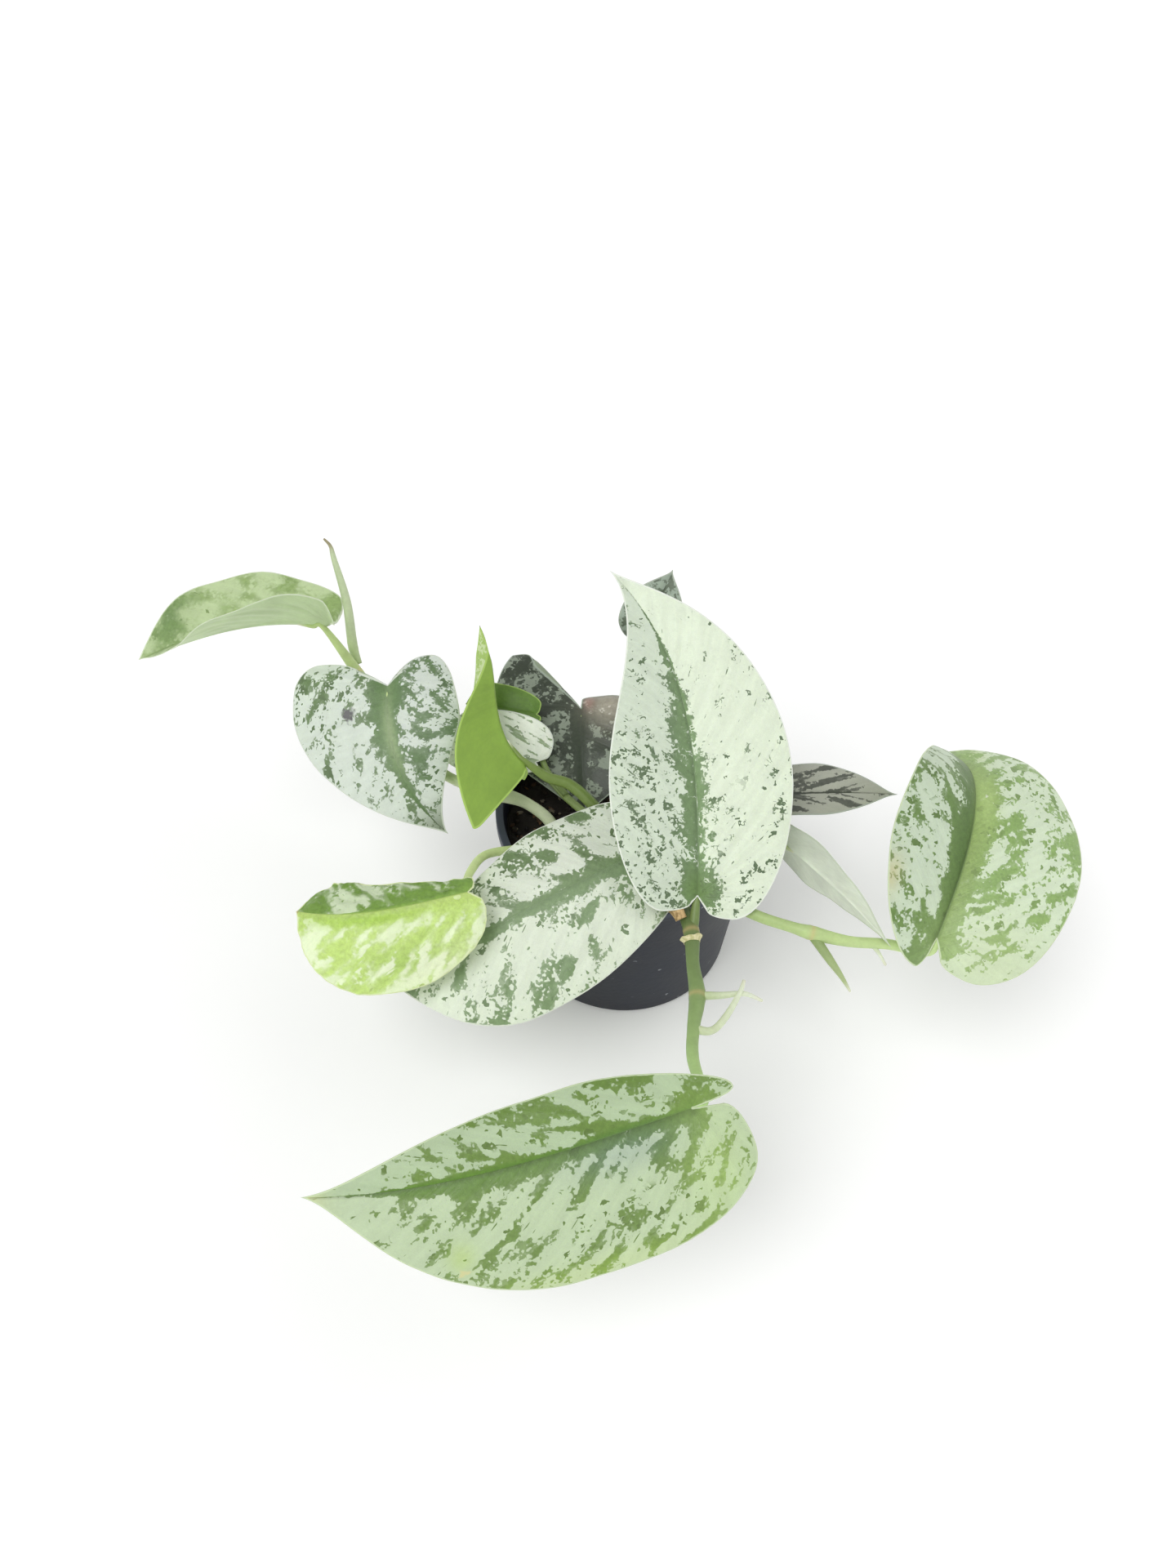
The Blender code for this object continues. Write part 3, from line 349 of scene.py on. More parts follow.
PAINTS = {
    "leaf_centre": Paint(
        # Partly painted light and shade: the right half's silver is lighter and the left half's darker.
        green=both((104, 126, 92)), band=((112, 138, 94), (118, 148, 96)),
        silver=((202, 214, 194), (219, 230, 207)), rim=(230, 236, 224), under=(182, 196, 170), teeth=0.34,
        ragged=2.2, crease_shade=0.2, cover=(0.6, 0.75), left_band=(5, 10, 10, 6, 2, 0),
        right_band=(7, 9, 6, 2, 0.5, 0), clump=0.5, cell=(3.0, 7.0),
        patches=((0.6, 0.12, 0.12, 0.12, -0.3), (0.2, 0.7, 0.14, 0.22, -0.14),
                 (0.42, 0.62, 0.05, 0.25, -0.1)),
        strokes=((0.34, 0.06, 0.43, 0.5, 0.9, 1.1), (0.2, -0.26, 0.29, -0.44, 0.45, 1.1),
                 (0.08, 0.1, 0.13, 0.5, 0.5, 0.9), (0.16, 0.4, 0.22, 0.62, 0.5, 1.0),
                 (0.5, -0.9, 0.58, -0.8, 0.4, 0.9), (0.6, -0.93, 0.66, -0.8, 0.4, 0.9)),
        flecks=(0.006, 0.006),
        clusters=((0.15, 0.66, 0.14, 0.3, 0.2), (0.42, 0.7, 0.1, 0.3, 0.16), (0.0, 0.35, 0.05, 0.25, 0.22),
                  (0.68, 0.6, 0.1, 0.3, 0.04), (0.28, -0.85, 0.1, 0.14, 0.1), (0.0, -0.14, 0.05, 0.12, 0.25),
                  (0.12, -0.72, 0.06, 0.12, 0.08), (0.04, -0.45, 0.06, 0.12, 0.1)),
        tints_and_sheen=((0.02, 0.0, 0.05, 0.2, (104, 134, 72), (190, 204, 176)),
                (0.98, 0.0, 0.06, 0.6, (150, 165, 130), (206, 216, 196))),
    ),
    "leaf_front": Paint(
        green=((112, 140, 72), (108, 138, 62)), band=((100, 134, 58), (92, 132, 38)),
        silver=((186, 204, 167), (175, 195, 157)), rim=(200, 216, 176), under=(170, 190, 140), teeth=0.24,
        ragged=1.2, crease_shade=0.3, cover=(0.3, 0.16), left_band=(2.5, 5, 4, 8, 3, 0),
        right_band=(2, 3.5, 3, 4, 1.5, 0), clump=0.5, cell=(3.0, 8.5),
        patches=((0.95, 0.2, 0.12, 0.8, 0.5), (0.85, -0.5, 0.12, 0.9, 0.3), (0.4, 0.93, 0.36, 0.14, -0.4),
                 (0.38, 0.45, 0.2, 0.16, 0.25), (0.2, -0.85, 0.35, 0.16, -0.3), (0.1, 0.3, 0.12, 0.16, -0.2),
                 (0.1, -0.52, 0.1, 0.16, 0.35), (0.55, -0.55, 0.1, 0.2, 0.3)),
        strokes=((0.45, 0.25, 0.62, 0.72, 0.7, 0.9), (0.42, 0.18, 0.53, 0.55, 0.6, 0.9),
                 (0.12, 0.15, 0.14, 0.6, 0.6, 0.7), (0.08, 0.12, 0.05, 0.5, 0.6, 0.7),
                 (0.27, 0.15, 0.36, 0.42, 0.8, 0.8), (0.18, -0.12, 0.38, -0.42, 1.1, 0.9),
                 (0.48, -0.1, 0.62, -0.42, 0.7, 0.8), (0.55, -0.3, 0.8, -0.5, 0.5, 0.6),
                 (0.02, -0.1, -0.02, -0.6, 0.8, 0.5), (0.4, -0.6, 0.62, -0.85, 0.5, 0.6)),
        flecks=(0.004, 0.01), clusters=((0.6, -0.5, 0.3, 0.4, 0.03), (0.3, 0.65, 0.2, 0.2, 0.04)),
        tints_and_sheen=((-0.02, 0.5, 0.1, 0.6, (146, 176, 92), (188, 209, 158)),
                (0.35, 0.95, 0.4, 0.14, (130, 162, 62), (188, 206, 156)),
                (0.2, 0.14, 0.16, 0.14, (98, 126, 88), (172, 190, 166)),
                (1.0, 0.0, 0.05, 0.4, (190, 202, 130), (198, 208, 150)),
                (0.64, 0.56, 0.03, 0.12, (130, 164, 66), (178, 200, 134))),
        marks=((0.64, 0.68, 1.6, (204, 204, 150)), (0.1, 0.62, 1.3, (206, 212, 180)),
               (1.0, 0.0, 2.0, (216, 204, 110))),
    ),
    "leaf_right": Paint(
        # Partly painted light and shade: the right half's green, band and silver are lighter and the left
        # half's darker.
        green=((104, 134, 70), (138, 170, 98)), band=((82, 112, 50), (142, 168, 96)),
        silver=((192, 207, 182), (206, 221, 192)), rim=(204, 218, 180), under=(170, 190, 140), ragged=1.3,
        crease_shade=0.3, cover=(0.1, 0.02), left_band=(3, 7, 12, 12, 10, 9), right_band=(5, 7, 8, 8, 6, 6),
        clump=0.4, cell=(3.4, 7.5),
        patches=((0.03, 0.35, 0.05, 0.15, -0.4), (-0.08, 0.2, 0.06, 0.2, -0.6), (0.2, 0.5, 0.12, 0.16, 0.4),
                 (0.36, 0.5, 0.06, 0.2, 0.3), (0.02, -0.5, 0.14, 0.5, 0.3), (0.5, -0.5, 0.12, 0.14, 0.35),
                 (0.3, -0.6, 0.1, 0.15, 0.3), (0.35, -0.97, 0.2, 0.08, -0.3)),
        strokes=((0.28, 0.12, 0.5, 0.5, 1.3, 0.8), (0.1, -0.2, 0.2, -0.44, 0.7, 0.7),
                 (0.15, -0.22, 0.27, -0.5, 0.7, 0.7), (0.24, -0.25, 0.34, -0.55, 0.9, 0.8),
                 (0.04, -0.25, 0.09, -0.62, 0.5, 0.6), (0.0, -0.3, 0.02, -0.6, 0.4, 0.5)),
        flecks=(0.005, 0.03), clusters=((0.5, 0.7, 0.22, 0.4, 0.05), (0.65, -0.6, 0.2, 0.3, 0.06)),
        tints_and_sheen=((-0.02, -0.5, 0.16, 0.6, (158, 184, 118), (202, 217, 180)),
                (0.5, -0.1, 0.14, 0.1, (170, 196, 122), (196, 214, 160)),
                (0.85, -0.12, 0.12, 0.14, (132, 170, 70), (180, 200, 130)),
                (0.12, 0.85, 0.06, 0.12, (140, 148, 92), (192, 192, 150))),
        marks=((0.12, 0.86, 1.4, (186, 188, 148)), (0.2, 0.84, 0.8, (186, 188, 148)),
               (0.52, -0.1, 0.6, (240, 244, 232))),
    ),
    "leaf_lower_left": Paint(
        # Partly painted light: the left half's green and band are lighter than the right half's.
        green=((128, 152, 110), (108, 132, 88)), band=((132, 156, 114), (122, 146, 102)),
        silver=((220, 229, 210), (217, 225, 208)), rim=(222, 228, 214), teeth=0.3, ragged=1.2,
        cover=(0.18, 0.18), left_band=(6, 7, 7, 5, 3, 0), right_band=(4, 5, 4, 2, 1, 0), cell=(4.6, 9.5),
        clump=0.5,
        patches=((0.3, 0.45, 0.3, 0.1, 0.45), (0.55, 0.85, 0.4, 0.16, -0.16), (0.3, -0.36, 0.2, 0.12, 0.4),
                 (0.25, -0.75, 0.22, 0.2, -0.25), (0.78, 0.65, 0.08, 0.25, -0.2),
                 (0.3, 0.05, 0.25, 0.12, 0.25)),
        strokes=((0.25, 0.25, 0.4, 0.5, 0.9, 0.8), (0.2, -0.3, 0.25, -0.55, 1.2, 0.8)), flecks=(0.003, 0.006),
        clusters=((0.55, -0.75, 0.12, 0.25, 0.14), (0.2, -0.9, 0.2, 0.15, 0.08), (0.85, 0.6, 0.1, 0.3, 0.06)),
    ),
    "leaf_yellow": Paint(
        green=((192, 220, 122), (116, 152, 64)), band=((190, 216, 118), (130, 166, 74)),
        silver=((226, 240, 198), (200, 215, 180)), rim=(220, 232, 180), under=(180, 200, 130),
        cover=(0.08, -0.1), left_band=(3, 4, 4, 4, 3, 1), right_band=(3, 3, 2, 1, 0, 0), teeth=0.06,
        ragged=0.5, soft=0.16, crinkle=4.0, cell=(3.4, 10.0),
        patches=((0.85, 0.35, 0.08, 0.12, -0.4), (0.6, 0.8, 0.2, 0.14, -0.3), (0.4, 0.6, 0.08, 0.15, -0.35),
                 (0.55, -0.4, 0.25, 0.25, 0.35), (0.25, -0.6, 0.2, 0.4, -0.2), (0.95, -0.3, 0.1, 0.3, -0.1)),
        strokes=((0.3, 0.5, 0.34, 0.85, 0.8, -0.8), (0.45, 0.5, 0.5, 0.8, 0.6, -0.8),
                 (0.6, 0.4, 0.66, 0.7, 0.6, -0.8)), flecks=(-0.01, 0.002), relief=0.5, wrinkle=1.2,
        wrinkle_size=4.5, base_spot=3.0,
        tints_and_sheen=((0.6, 0.08, 0.35, 0.08, (168, 204, 84), (176, 208, 96)),
                (0.15, 0.8, 0.2, 0.3, (206, 224, 160), (226, 236, 196)),
                (0.4, 0.65, 0.2, 0.2, (176, 206, 110), (224, 234, 200))),
        marks=((1.0, 0.0, 1.0, (176, 150, 96)),),
    ),
    "leaf_heart": Paint(
        green=((100, 126, 84), (106, 130, 88)), band=((104, 134, 84), (88, 120, 66)),
        silver=((204, 213, 202), (206, 216, 203)), rim=(208, 216, 202), under=(168, 184, 152),
        cover=(0.2, 0.26), left_band=(4, 4, 3, 1.5, 0.5, 0), right_band=(5, 6, 4, 1.5, 0.5, 0), clump=0.5,
        ragged=1.5, cell=(3.6, 7.0),
        patches=((0.25, 0.45, 0.1, 0.2, -0.3), (0.38, 0.78, 0.1, 0.16, -0.3), (0.0, 0.3, 0.1, 0.12, -0.2),
                 (0.3, -0.4, 0.14, 0.16, 0.3), (0.55, 0.3, 0.12, 0.12, -0.25), (0.6, -0.3, 0.14, 0.2, -0.2)),
        flecks=(0.004, 0.004),
        clusters=((0.06, -0.6, 0.08, 0.25, 0.16), (0.2, -0.72, 0.05, 0.16, 0.16),
                  (0.0, -0.88, 0.1, 0.12, 0.18), (0.4, -0.75, 0.12, 0.12, 0.12),
                  (0.0, 0.82, 0.14, 0.14, 0.18), (0.62, 0.4, 0.15, 0.2, 0.1)),
        tints_and_sheen=((0.95, 0.0, 0.12, 0.5, (96, 110, 82), (140, 152, 130)),
                (0.3, 0.02, 0.25, 0.07, (158, 178, 134), (194, 206, 182))),
        marks=((0.17, -0.37, 2.6, (92, 92, 92)), (0.13, -0.28, 0.9, (232, 236, 230))),
    ),
    "leaf_arching": Paint(
        green=both((146, 172, 106)), band=both((158, 184, 120)), silver=both((190, 209, 160)),
        rim=(214, 226, 196), under=(190, 212, 160), soft=0.3, ragged=0.8, teeth=0.1, cell=(6.0, 9.0),
        cover=(0.2, 0.3), left_band=(1, 2, 2, 1, 1, 0), right_band=(1, 2, 2, 1, 1, 0),
        patches=((0.78, -0.5, 0.14, 0.5, -0.3),), flecks=(0.0, 0.002), relief=0.4,
        tints_and_sheen=((0.8, -0.5, 0.14, 0.6, (112, 142, 80), (164, 184, 134)),),
    ),
    "leaf_bright_edge": Paint(
        green=((164, 196, 100), (140, 180, 58)), band=((164, 196, 100), (136, 176, 52)),
        silver=((196, 214, 158), (172, 202, 112)), rim=(168, 200, 96), under=(130, 164, 58),
        cover=(-0.1, -1.5), flecks=(-0.01, -0.01), relief=0.06,
        tints_and_sheen=((0.25, -0.1, 0.4, 0.12, (172, 202, 112), (196, 214, 158)),),
    ),
    "leaf_small_silver": Paint(
        green=both((150, 170, 132)), band=both((184, 200, 168)), silver=both((236, 242, 228)),
        rim=(220, 226, 214), cover=(0.3, 0.34), left_band=(1, 1, 1, 0, 0, 0), right_band=(1, 1, 1, 0, 0, 0),
        flecks=(0.0, 0.0), cell=(1.1, 9.0), ragged=0.8, clump=0.3, relief=0.12, base_spot=1.5, slant=24.0,
    ),
    "leaf_young_green": Paint(
        green=both((96, 132, 44)), band=both((92, 128, 42)), silver=both((150, 178, 96)), rim=(150, 180, 90),
        under=(120, 152, 60), cover=(-1.5, -1.5), flecks=(-0.01, -0.01), relief=0.1,
    ),
    "leaf_back": Paint(
        # Its dim colours are partly its own dark green and partly painted shade.
        green=both((54, 63, 48)), band=both((52, 63, 46)), silver=both((134, 144, 128)), rim=(160, 172, 156),
        under=(140, 152, 128), cover=(-0.1, 0.0), cell=(5.0, 9.0), ragged=1.3,
        left_band=(1.5, 2, 2, 1.5, 1, 0), right_band=(2, 3, 3, 2, 1, 0), flecks=(0.002, 0.002),
        tints_and_sheen=((0.0, 0.4, 0.2, 0.3, (170, 164, 148), (208, 202, 190)),
                (-0.05, 0.12, 0.08, 0.08, (164, 136, 124), (186, 160, 148))),
    ),
    "leaf_behind_tip": Paint(
        # Its dim colours are partly its own grey-green and partly painted shade.
        green=both((98, 110, 92)), band=both((92, 104, 86)), silver=both((154, 168, 152)),
        rim=(170, 180, 164), under=(140, 152, 128), cover=(0.1, 0.1), left_band=(1, 1, 1, 1, 0, 0),
        right_band=(1, 1, 1, 1, 0, 0),
    ),
    "leaf_dark_slim": Paint(
        # Its dim colours are partly its own dark grey-green and partly painted shade.
        green=both((82, 86, 76)), band=both((80, 86, 74)), silver=both((166, 168, 155)), rim=(172, 180, 168),
        under=(150, 162, 140), cover=(0.12, 0.12), left_band=(1, 1, 1, 1, 0.5, 0),
        right_band=(1, 1, 1, 1, 0.5, 0), flecks=(0.0, 0.0), cell=(1.6, 16.0), slant=14.0, ragged=0.8,
        clump=0.3, crease_shade=0.3, relief=0.15,
    ),
    "leaf_pale_drooping": Paint(
        green=both((128, 148, 110)), silver=both((196, 206, 190)), rim=(200, 210, 188), under=(224, 232, 214),
        relief=0.1,
    ),
}


def unit(vectors):
    vectors = np.asarray(vectors, float)
    return vectors / np.linalg.norm(vectors, axis=-1, keepdims=True)


def bezier(start, first, second, end, share):
    """Points of a cubic curve at each share from 0 to 1."""
    share = np.asarray(share, float)[:, None]
    rest = 1 - share
    corners = (np.asarray(corner, float) for corner in (start, first, second, end))
    weights = (rest**3, 3 * rest**2 * share, 3 * rest * share**2, share**3)
    return sum(weight * corner for weight, corner in zip(weights, corners))


class Midrib:
    """The midrib's curve, and the place in space of any point (x, y) of the flat blade."""

    SAMPLES = 240

    def __init__(self, leaf):
        self.leaf = leaf
        base, tip = np.array(leaf.base, float), np.array(leaf.tip, float)
        along = unit(tip - base)
        face = np.array(leaf.face, float)
        face = unit(face - (face @ along) * along)
        left = np.cross(face, along)
        first = base + (tip - base) / 3 + face * leaf.arch[0] + left * leaf.sway[0]
        second = tip - (tip - base) / 3 + face * leaf.arch[1] + left * leaf.sway[1]
        self.curve = bezier(base, first, second, tip, np.linspace(0, 1, self.SAMPLES))
        steps = np.linalg.norm(np.diff(self.curve, axis=0), axis=1)
        self.reach = np.concatenate([[0], np.cumsum(steps)])
        self.length = self.reach[-1]
        self.heading = unit(np.gradient(self.curve, self.reach, axis=0))

    def frame(self, x):
        """Centre, heading, left and face directions at distances x along the midrib."""
        inside = np.clip(x, 0, self.length)
        centre = np.stack([np.interp(inside, self.reach, axis) for axis in self.curve.T], 1)
        along = unit(np.stack([np.interp(inside, self.reach, axis) for axis in self.heading.T], 1))
        face = np.array(self.leaf.face, float)
        face = unit(face - (along @ face)[:, None] * along)
        left = np.cross(face, along)
        turn = np.radians(self.leaf.twist) * (inside / self.length)[:, None]
        face, left = face * np.cos(turn) + left * np.sin(turn), left * np.cos(turn) - face * np.sin(turn)
        return centre + (x - inside)[:, None] * along, along, left, face

    def place(self, x, y):
        """Points of the blade's middle surface."""
        leaf = self.leaf
        centre, _, left, face = self.frame(x)
        side = (y < 0).astype(int)
        halves = (leaf.left, leaf.right)
        width = np.array([half.width for half in halves], float)[side]
        lobe = np.array([half.lobe for half in halves], float)[side]
        share = np.clip(x / self.length, 0, 1)
        fold_base, fold_tip = np.radians(np.array([half.fold for half in halves], float)).T
        fold = fold_base[side] * (1 - share) + fold_tip[side] * share
        curl = np.radians(np.array([half.curl for half in halves], float))[side]
        curl = np.where(np.abs(curl) < 1e-3, 1e-3, curl)
        out = np.abs(y) / width
        across = width / curl * (np.sin(fold + curl * out) - np.sin(fold))
        rise = -width / curl * (np.cos(fold + curl * out) - np.cos(fold))
        swing = 2 * math.pi * leaf.waves * x / self.length + HALVES_APART * side
        rise = rise + leaf.ripple * out**2 * np.sin(swing)
        rise = rise - leaf.lobe_drop * (np.minimum(x, 0) / lobe) ** 2
        across = across * np.where(y < 0, -1, 1)
        return centre + across[:, None] * left + rise[:, None] * face


def margin(half, length):
    """Rows (x, y, root) of one half: a point of the margin, and the midrib point that its vein leaves."""
    width, lobe = half.width, half.lobe
    notch = (-half.sinus * lobe, half.notch * width)
    back = (-lobe, half.lobe_at * width)
    wide = (half.widest * length, width)
    tip = (length, 0)
    rest = length - wide[0]
    inner = bezier(notch, (notch[0] - LOBE_HANDLE * lobe, notch[1]), (back[0], (notch[1] + back[1]) / 2),
                   back, np.arange(LOBE_ROWS) / LOBE_ROWS)
    outer = bezier(back, (back[0], back[1] + half.plump * (width - back[1])),
                   (wide[0] - half.plump * (wide[0] - back[0]), width),
                   wide, np.arange(SHOULDER_ROWS) / SHOULDER_ROWS)
    point = bezier(wide, (wide[0] + half.belly * rest, width),
                   (wide[0] + TIP_HANDLE * rest, half.blunt * width), tip, np.arange(TIP_ROWS + 1) / TIP_ROWS)
    rows = [(x, y, 0.0) for x, y in np.concatenate([inner, outer])]
    return rows + [(x, y, length * row / TIP_ROWS) for row, (x, y) in enumerate(point)]


def vertex_normals(points, triangles):
    corners = points[triangles]
    areas = np.cross(corners[:, 1] - corners[:, 0], corners[:, 2] - corners[:, 0])
    normals = np.zeros_like(points)
    for corner in range(3):
        np.add.at(normals, triangles[:, corner], areas)
    return unit(normals)


def smooth_route(points):
    """A Catmull-Rom curve through rows of (x, y, z, radius)."""
    points = np.asarray(points, float)
    padded = np.vstack([2 * points[0] - points[1], points, 2 * points[-1] - points[-2]])
    shares = np.arange(SPAN_STEPS) / SPAN_STEPS
    curve = []
    for before, start, end, after in zip(padded, padded[1:], padded[2:], padded[3:]):
        slope_in, slope_out = (end - before) / 2, (after - start) / 2
        curve.append(bezier(start, start + slope_in / 3, end - slope_out / 3, end, shares))
    return np.vstack(curve + [points[-1:]])


def smoothstep(low, high, value):
    share = np.clip((np.asarray(value, float) - low) / (high - low), 0, 1)
    return share * share * (3 - 2 * share)


def bell(distance, reach):
    """1 at no distance, 0.37 at the reach, and nearly 0 beyond twice the reach."""
    return np.exp(-((distance / reach) ** 2))


def linear(color):
    """An sRGB colour from 0 to 255 as linear light."""
    return tuple(c / 12.92 if c <= 0.04045 else ((c + 0.055) / 1.055) ** 2.4
                 for c in (value / 255 for value in color))


def rough(points, size, octaves=2):
    """Smooth noise from about -1 to 1 at each point, with bumps of that size."""
    return np.array([noise.fractal(Vector(point) / size, 1.0, 2.0, octaves) for point in points])


# Shader building


class Wire:
    """A node's output, whose arithmetic adds Math nodes."""

    def __init__(self, shade, socket):
        self.shade = shade
        self.socket = socket

    def __add__(self, other):
        return self.shade.math("ADD", self, other)

    def __sub__(self, other):
        return self.shade.math("SUBTRACT", self, other)

    def __rsub__(self, other):
        return self.shade.math("SUBTRACT", other, self)

    def __mul__(self, other):
        return self.shade.math("MULTIPLY", self, other)


class Shade:
    """A material's nodes, added by short calls."""

    def __init__(self, name, roughness=0.45):
        self.material = bpy.data.materials.new(name)
        self.material.use_nodes = True
        self.tree = self.material.node_tree
        self.shader = self.tree.nodes["Principled BSDF"]
        self.shader.inputs["Roughness"].default_value = roughness

    def plug(self, value, socket):
        if isinstance(value, Wire):
            self.tree.links.new(value.socket, socket)
        else:
            socket.default_value = value

    def node(self, kind, values=(), **settings):
        """A new node with its settings, and with values for its first inputs."""
        node = self.tree.nodes.new(f"ShaderNode{kind}")
        for name, value in settings.items():
            setattr(node, name, value)
        for value, socket in zip(values, node.inputs):
            self.plug(value, socket)
        return node

    def math(self, operation, *values):
        return Wire(self, self.node("Math", values, operation=operation).outputs[0])

    def vector(self, operation, *values):
        return Wire(self, self.node("VectorMath", values, operation=operation).outputs[0])

    def line(self, value, slope, least):
        return self.math("MULTIPLY_ADD", value, slope, least)

    def attribute(self, name, output="Vector"):
        return Wire(self, self.node("Attribute", attribute_name=name).outputs[output])

    def position(self):
        return Wire(self, self.node("TexCoord").outputs["Object"])

    def split(self, vector):
        return [Wire(self, output) for output in self.node("SeparateXYZ", (vector,)).outputs]

    def texture(self, kind, vector, scale, output, **inputs):
        """A texture's output. A scale of three numbers stretches it."""
        if isinstance(scale, tuple):
            vector, scale = self.vector("MULTIPLY", vector, scale), 1.0
        node = self.node(kind)
        for name, value in {"Vector": vector, "Scale": scale, **inputs}.items():
            self.plug(value, node.inputs[name])
        return Wire(self, node.outputs[output])

    def noise(self, vector, scale, detail=2.0, roughness=0.5, output="Fac"):
        return self.texture("TexNoise", vector, scale, output, Detail=detail, Roughness=roughness)

    def cells(self, vector, scale):
        """A random value for each cell."""
        return self.split(self.texture("TexVoronoi", vector, scale, "Color"))[0]

    def ramp(self, value, low, high):
        """0 below low, 1 above high and smooth between."""
        node = self.node("MapRange", (value, low, high), interpolation_type="SMOOTHSTEP")
        return Wire(self, node.outputs[0])

    def mix(self, share, first, second):
        node = self.node("Mix", data_type="RGBA")
        sockets = [node.inputs["Factor"], *(s for s in node.inputs if s.type == "RGBA")]
        for value, socket in zip((share, self.opaque(first), self.opaque(second)), sockets):
            self.plug(value, socket)
        return Wire(self, next(s for s in node.outputs if s.type == "RGBA"))

    def opaque(self, color):
        return color if isinstance(color, Wire) else (*linear(color), 1.0)

    def bright(self, color, amount):
        """The colour made brighter or darker by a factor."""
        return self.vector("SCALE", color, (0, 0, 0), (0, 0, 0), amount)

    def uneven(self, color, value, slope, least):
        """The colour made as bright as the value says, by least and more."""
        return self.bright(color, self.line(value, slope, least))

    def bump(self, height, distance, strength=0.5):
        node = self.node("Bump")
        for name, value in {"Height": height, "Distance": distance, "Strength": strength}.items():
            self.plug(value, node.inputs[name])
        self.tree.links.new(node.outputs[0], self.shader.inputs["Normal"])

    def set(self, **values):
        for name, value in values.items():
            self.plug(value, self.shader.inputs[name.replace("_", " ")])
        return self.material


def silver_field(shade, paint, flat, warped, bias):
    """Above 0 where a blade is silver, with the noises that it is made of."""
    wide, long = paint.cell
    broad = shade.noise(flat, (0.35 / wide, 0.35 / long, 1.0), detail=1.0)
    patch = shade.noise(warped, (0.8 / wide, 0.8 / long, 1.7), detail=1.0)
    block = shade.cells(warped, (0.8, 0.42, 1.0))
    field = bias + (patch - 0.5) * 3.2 + (broad - 0.5) * paint.clump + (block - 0.5) * paint.teeth
    return field, patch, block


def dark_flecks(shade, vein, warped, block, share):
    """1 on small green flecks in the silver, and on dashes along the veins."""
    spot = shade.cells(warped, (0.42, 0.33, 2.3))
    dot = shade.cells(warped, (0.8, 0.6, 3.1))
    fleck = shade.math("MAXIMUM", shade.ramp(spot + share, 0.995, 1.0),
                       shade.ramp(dot + share * 0.4, 0.997, 1.0))
    thin = shade.noise(vein, (1.1, 0.16, 1.0), detail=1.0)
    dash = shade.ramp(thin + share * 0.35, 0.735, 0.765) * shade.ramp(block, 0.45, 0.55)
    return shade.math("MAXIMUM", fleck, dash)


def blade_upper(name, paint):
    """Satin green under silver patches with frayed edges, with dark flecks and dashes along the veins."""
    shade = Shade(f"{name}_upper")
    vein, flat = shade.attribute("vein"), shade.attribute("flat")
    silver_bias, fleck_share, rim = shade.split(shade.attribute("paint"))
    fine = shade.noise(flat, 0.6, detail=1.0, output="Color")
    warp = shade.vector("MULTIPLY", shade.vector("SUBTRACT", fine, 3 * (0.5,)), 3 * (paint.ragged,))
    warped = shade.vector("ADD", flat, warp)
    grain = shade.split(fine)[0]
    field, patch, block = silver_field(shade, paint, flat, warped, silver_bias)
    silver = shade.ramp(field, -paint.soft, 2 * paint.soft)
    fleck = dark_flecks(shade, vein, warped, block, fleck_share)
    haze = shade.ramp(field, -0.3, -0.02) * 0.22
    mottle = shade.noise(flat, 0.6, detail=5.0, roughness=0.65)
    satin = shade.noise(flat, 3.0)
    veins = shade.ramp(shade.noise(vein, (0.5, 0.04, 1.0), detail=3.0), 0.3, 0.7)
    # Painted shade in the fold beside the midrib, darkest at it and gone 3.5 mm out. The right half's shifted
    # vein places keep it off that half.
    fold = shade.ramp(shade.split(vein)[1], 3.5, 0.0)
    tone = shade.uneven(shade.attribute("tone", "Color"), mottle, 0.6, 0.68)
    tone = shade.uneven(tone, fleck, -0.2, 1.0)
    pale = shade.uneven(shade.attribute("pale", "Color"), patch, 0.2, 0.9)
    color = shade.mix(shade.math("MAXIMUM", silver, haze) * (1.0 - fleck), tone, pale)
    for value, slope, least in ((mottle, 0.12, 0.94), (satin, 0.16, 0.92), (veins, 0.07, 0.965),
                                (fold, -paint.crease_shade, 1.0)):
        color = shade.uneven(color, value, slope, least)
    marked = shade.ramp(shade.attribute("mark", "Alpha") + (grain - 0.5) * 1.2, 0.35, 0.8)
    color = shade.mix(marked, color, shade.attribute("mark", "Color"))
    color = shade.mix(shade.ramp(rim + (grain - 0.5) * 0.4, 0.55, 0.2), color, paint.rim)
    pucker = shade.noise(flat, 0.3)
    height = satin * 0.4 + silver * 0.12 + veins * 0.5 + mottle * 0.4 + pucker * paint.crinkle
    shade.bump(height, 0.0003)
    return shade.set(Base_Color=color, Roughness=shade.line(silver, 0.1, 0.38) + satin * 0.1,
                     Sheen_Weight=0.1, Sheen_Roughness=0.4, Subsurface_Weight=0.1,
                     Subsurface_Radius=(0.0015, 0.002, 0.0006))


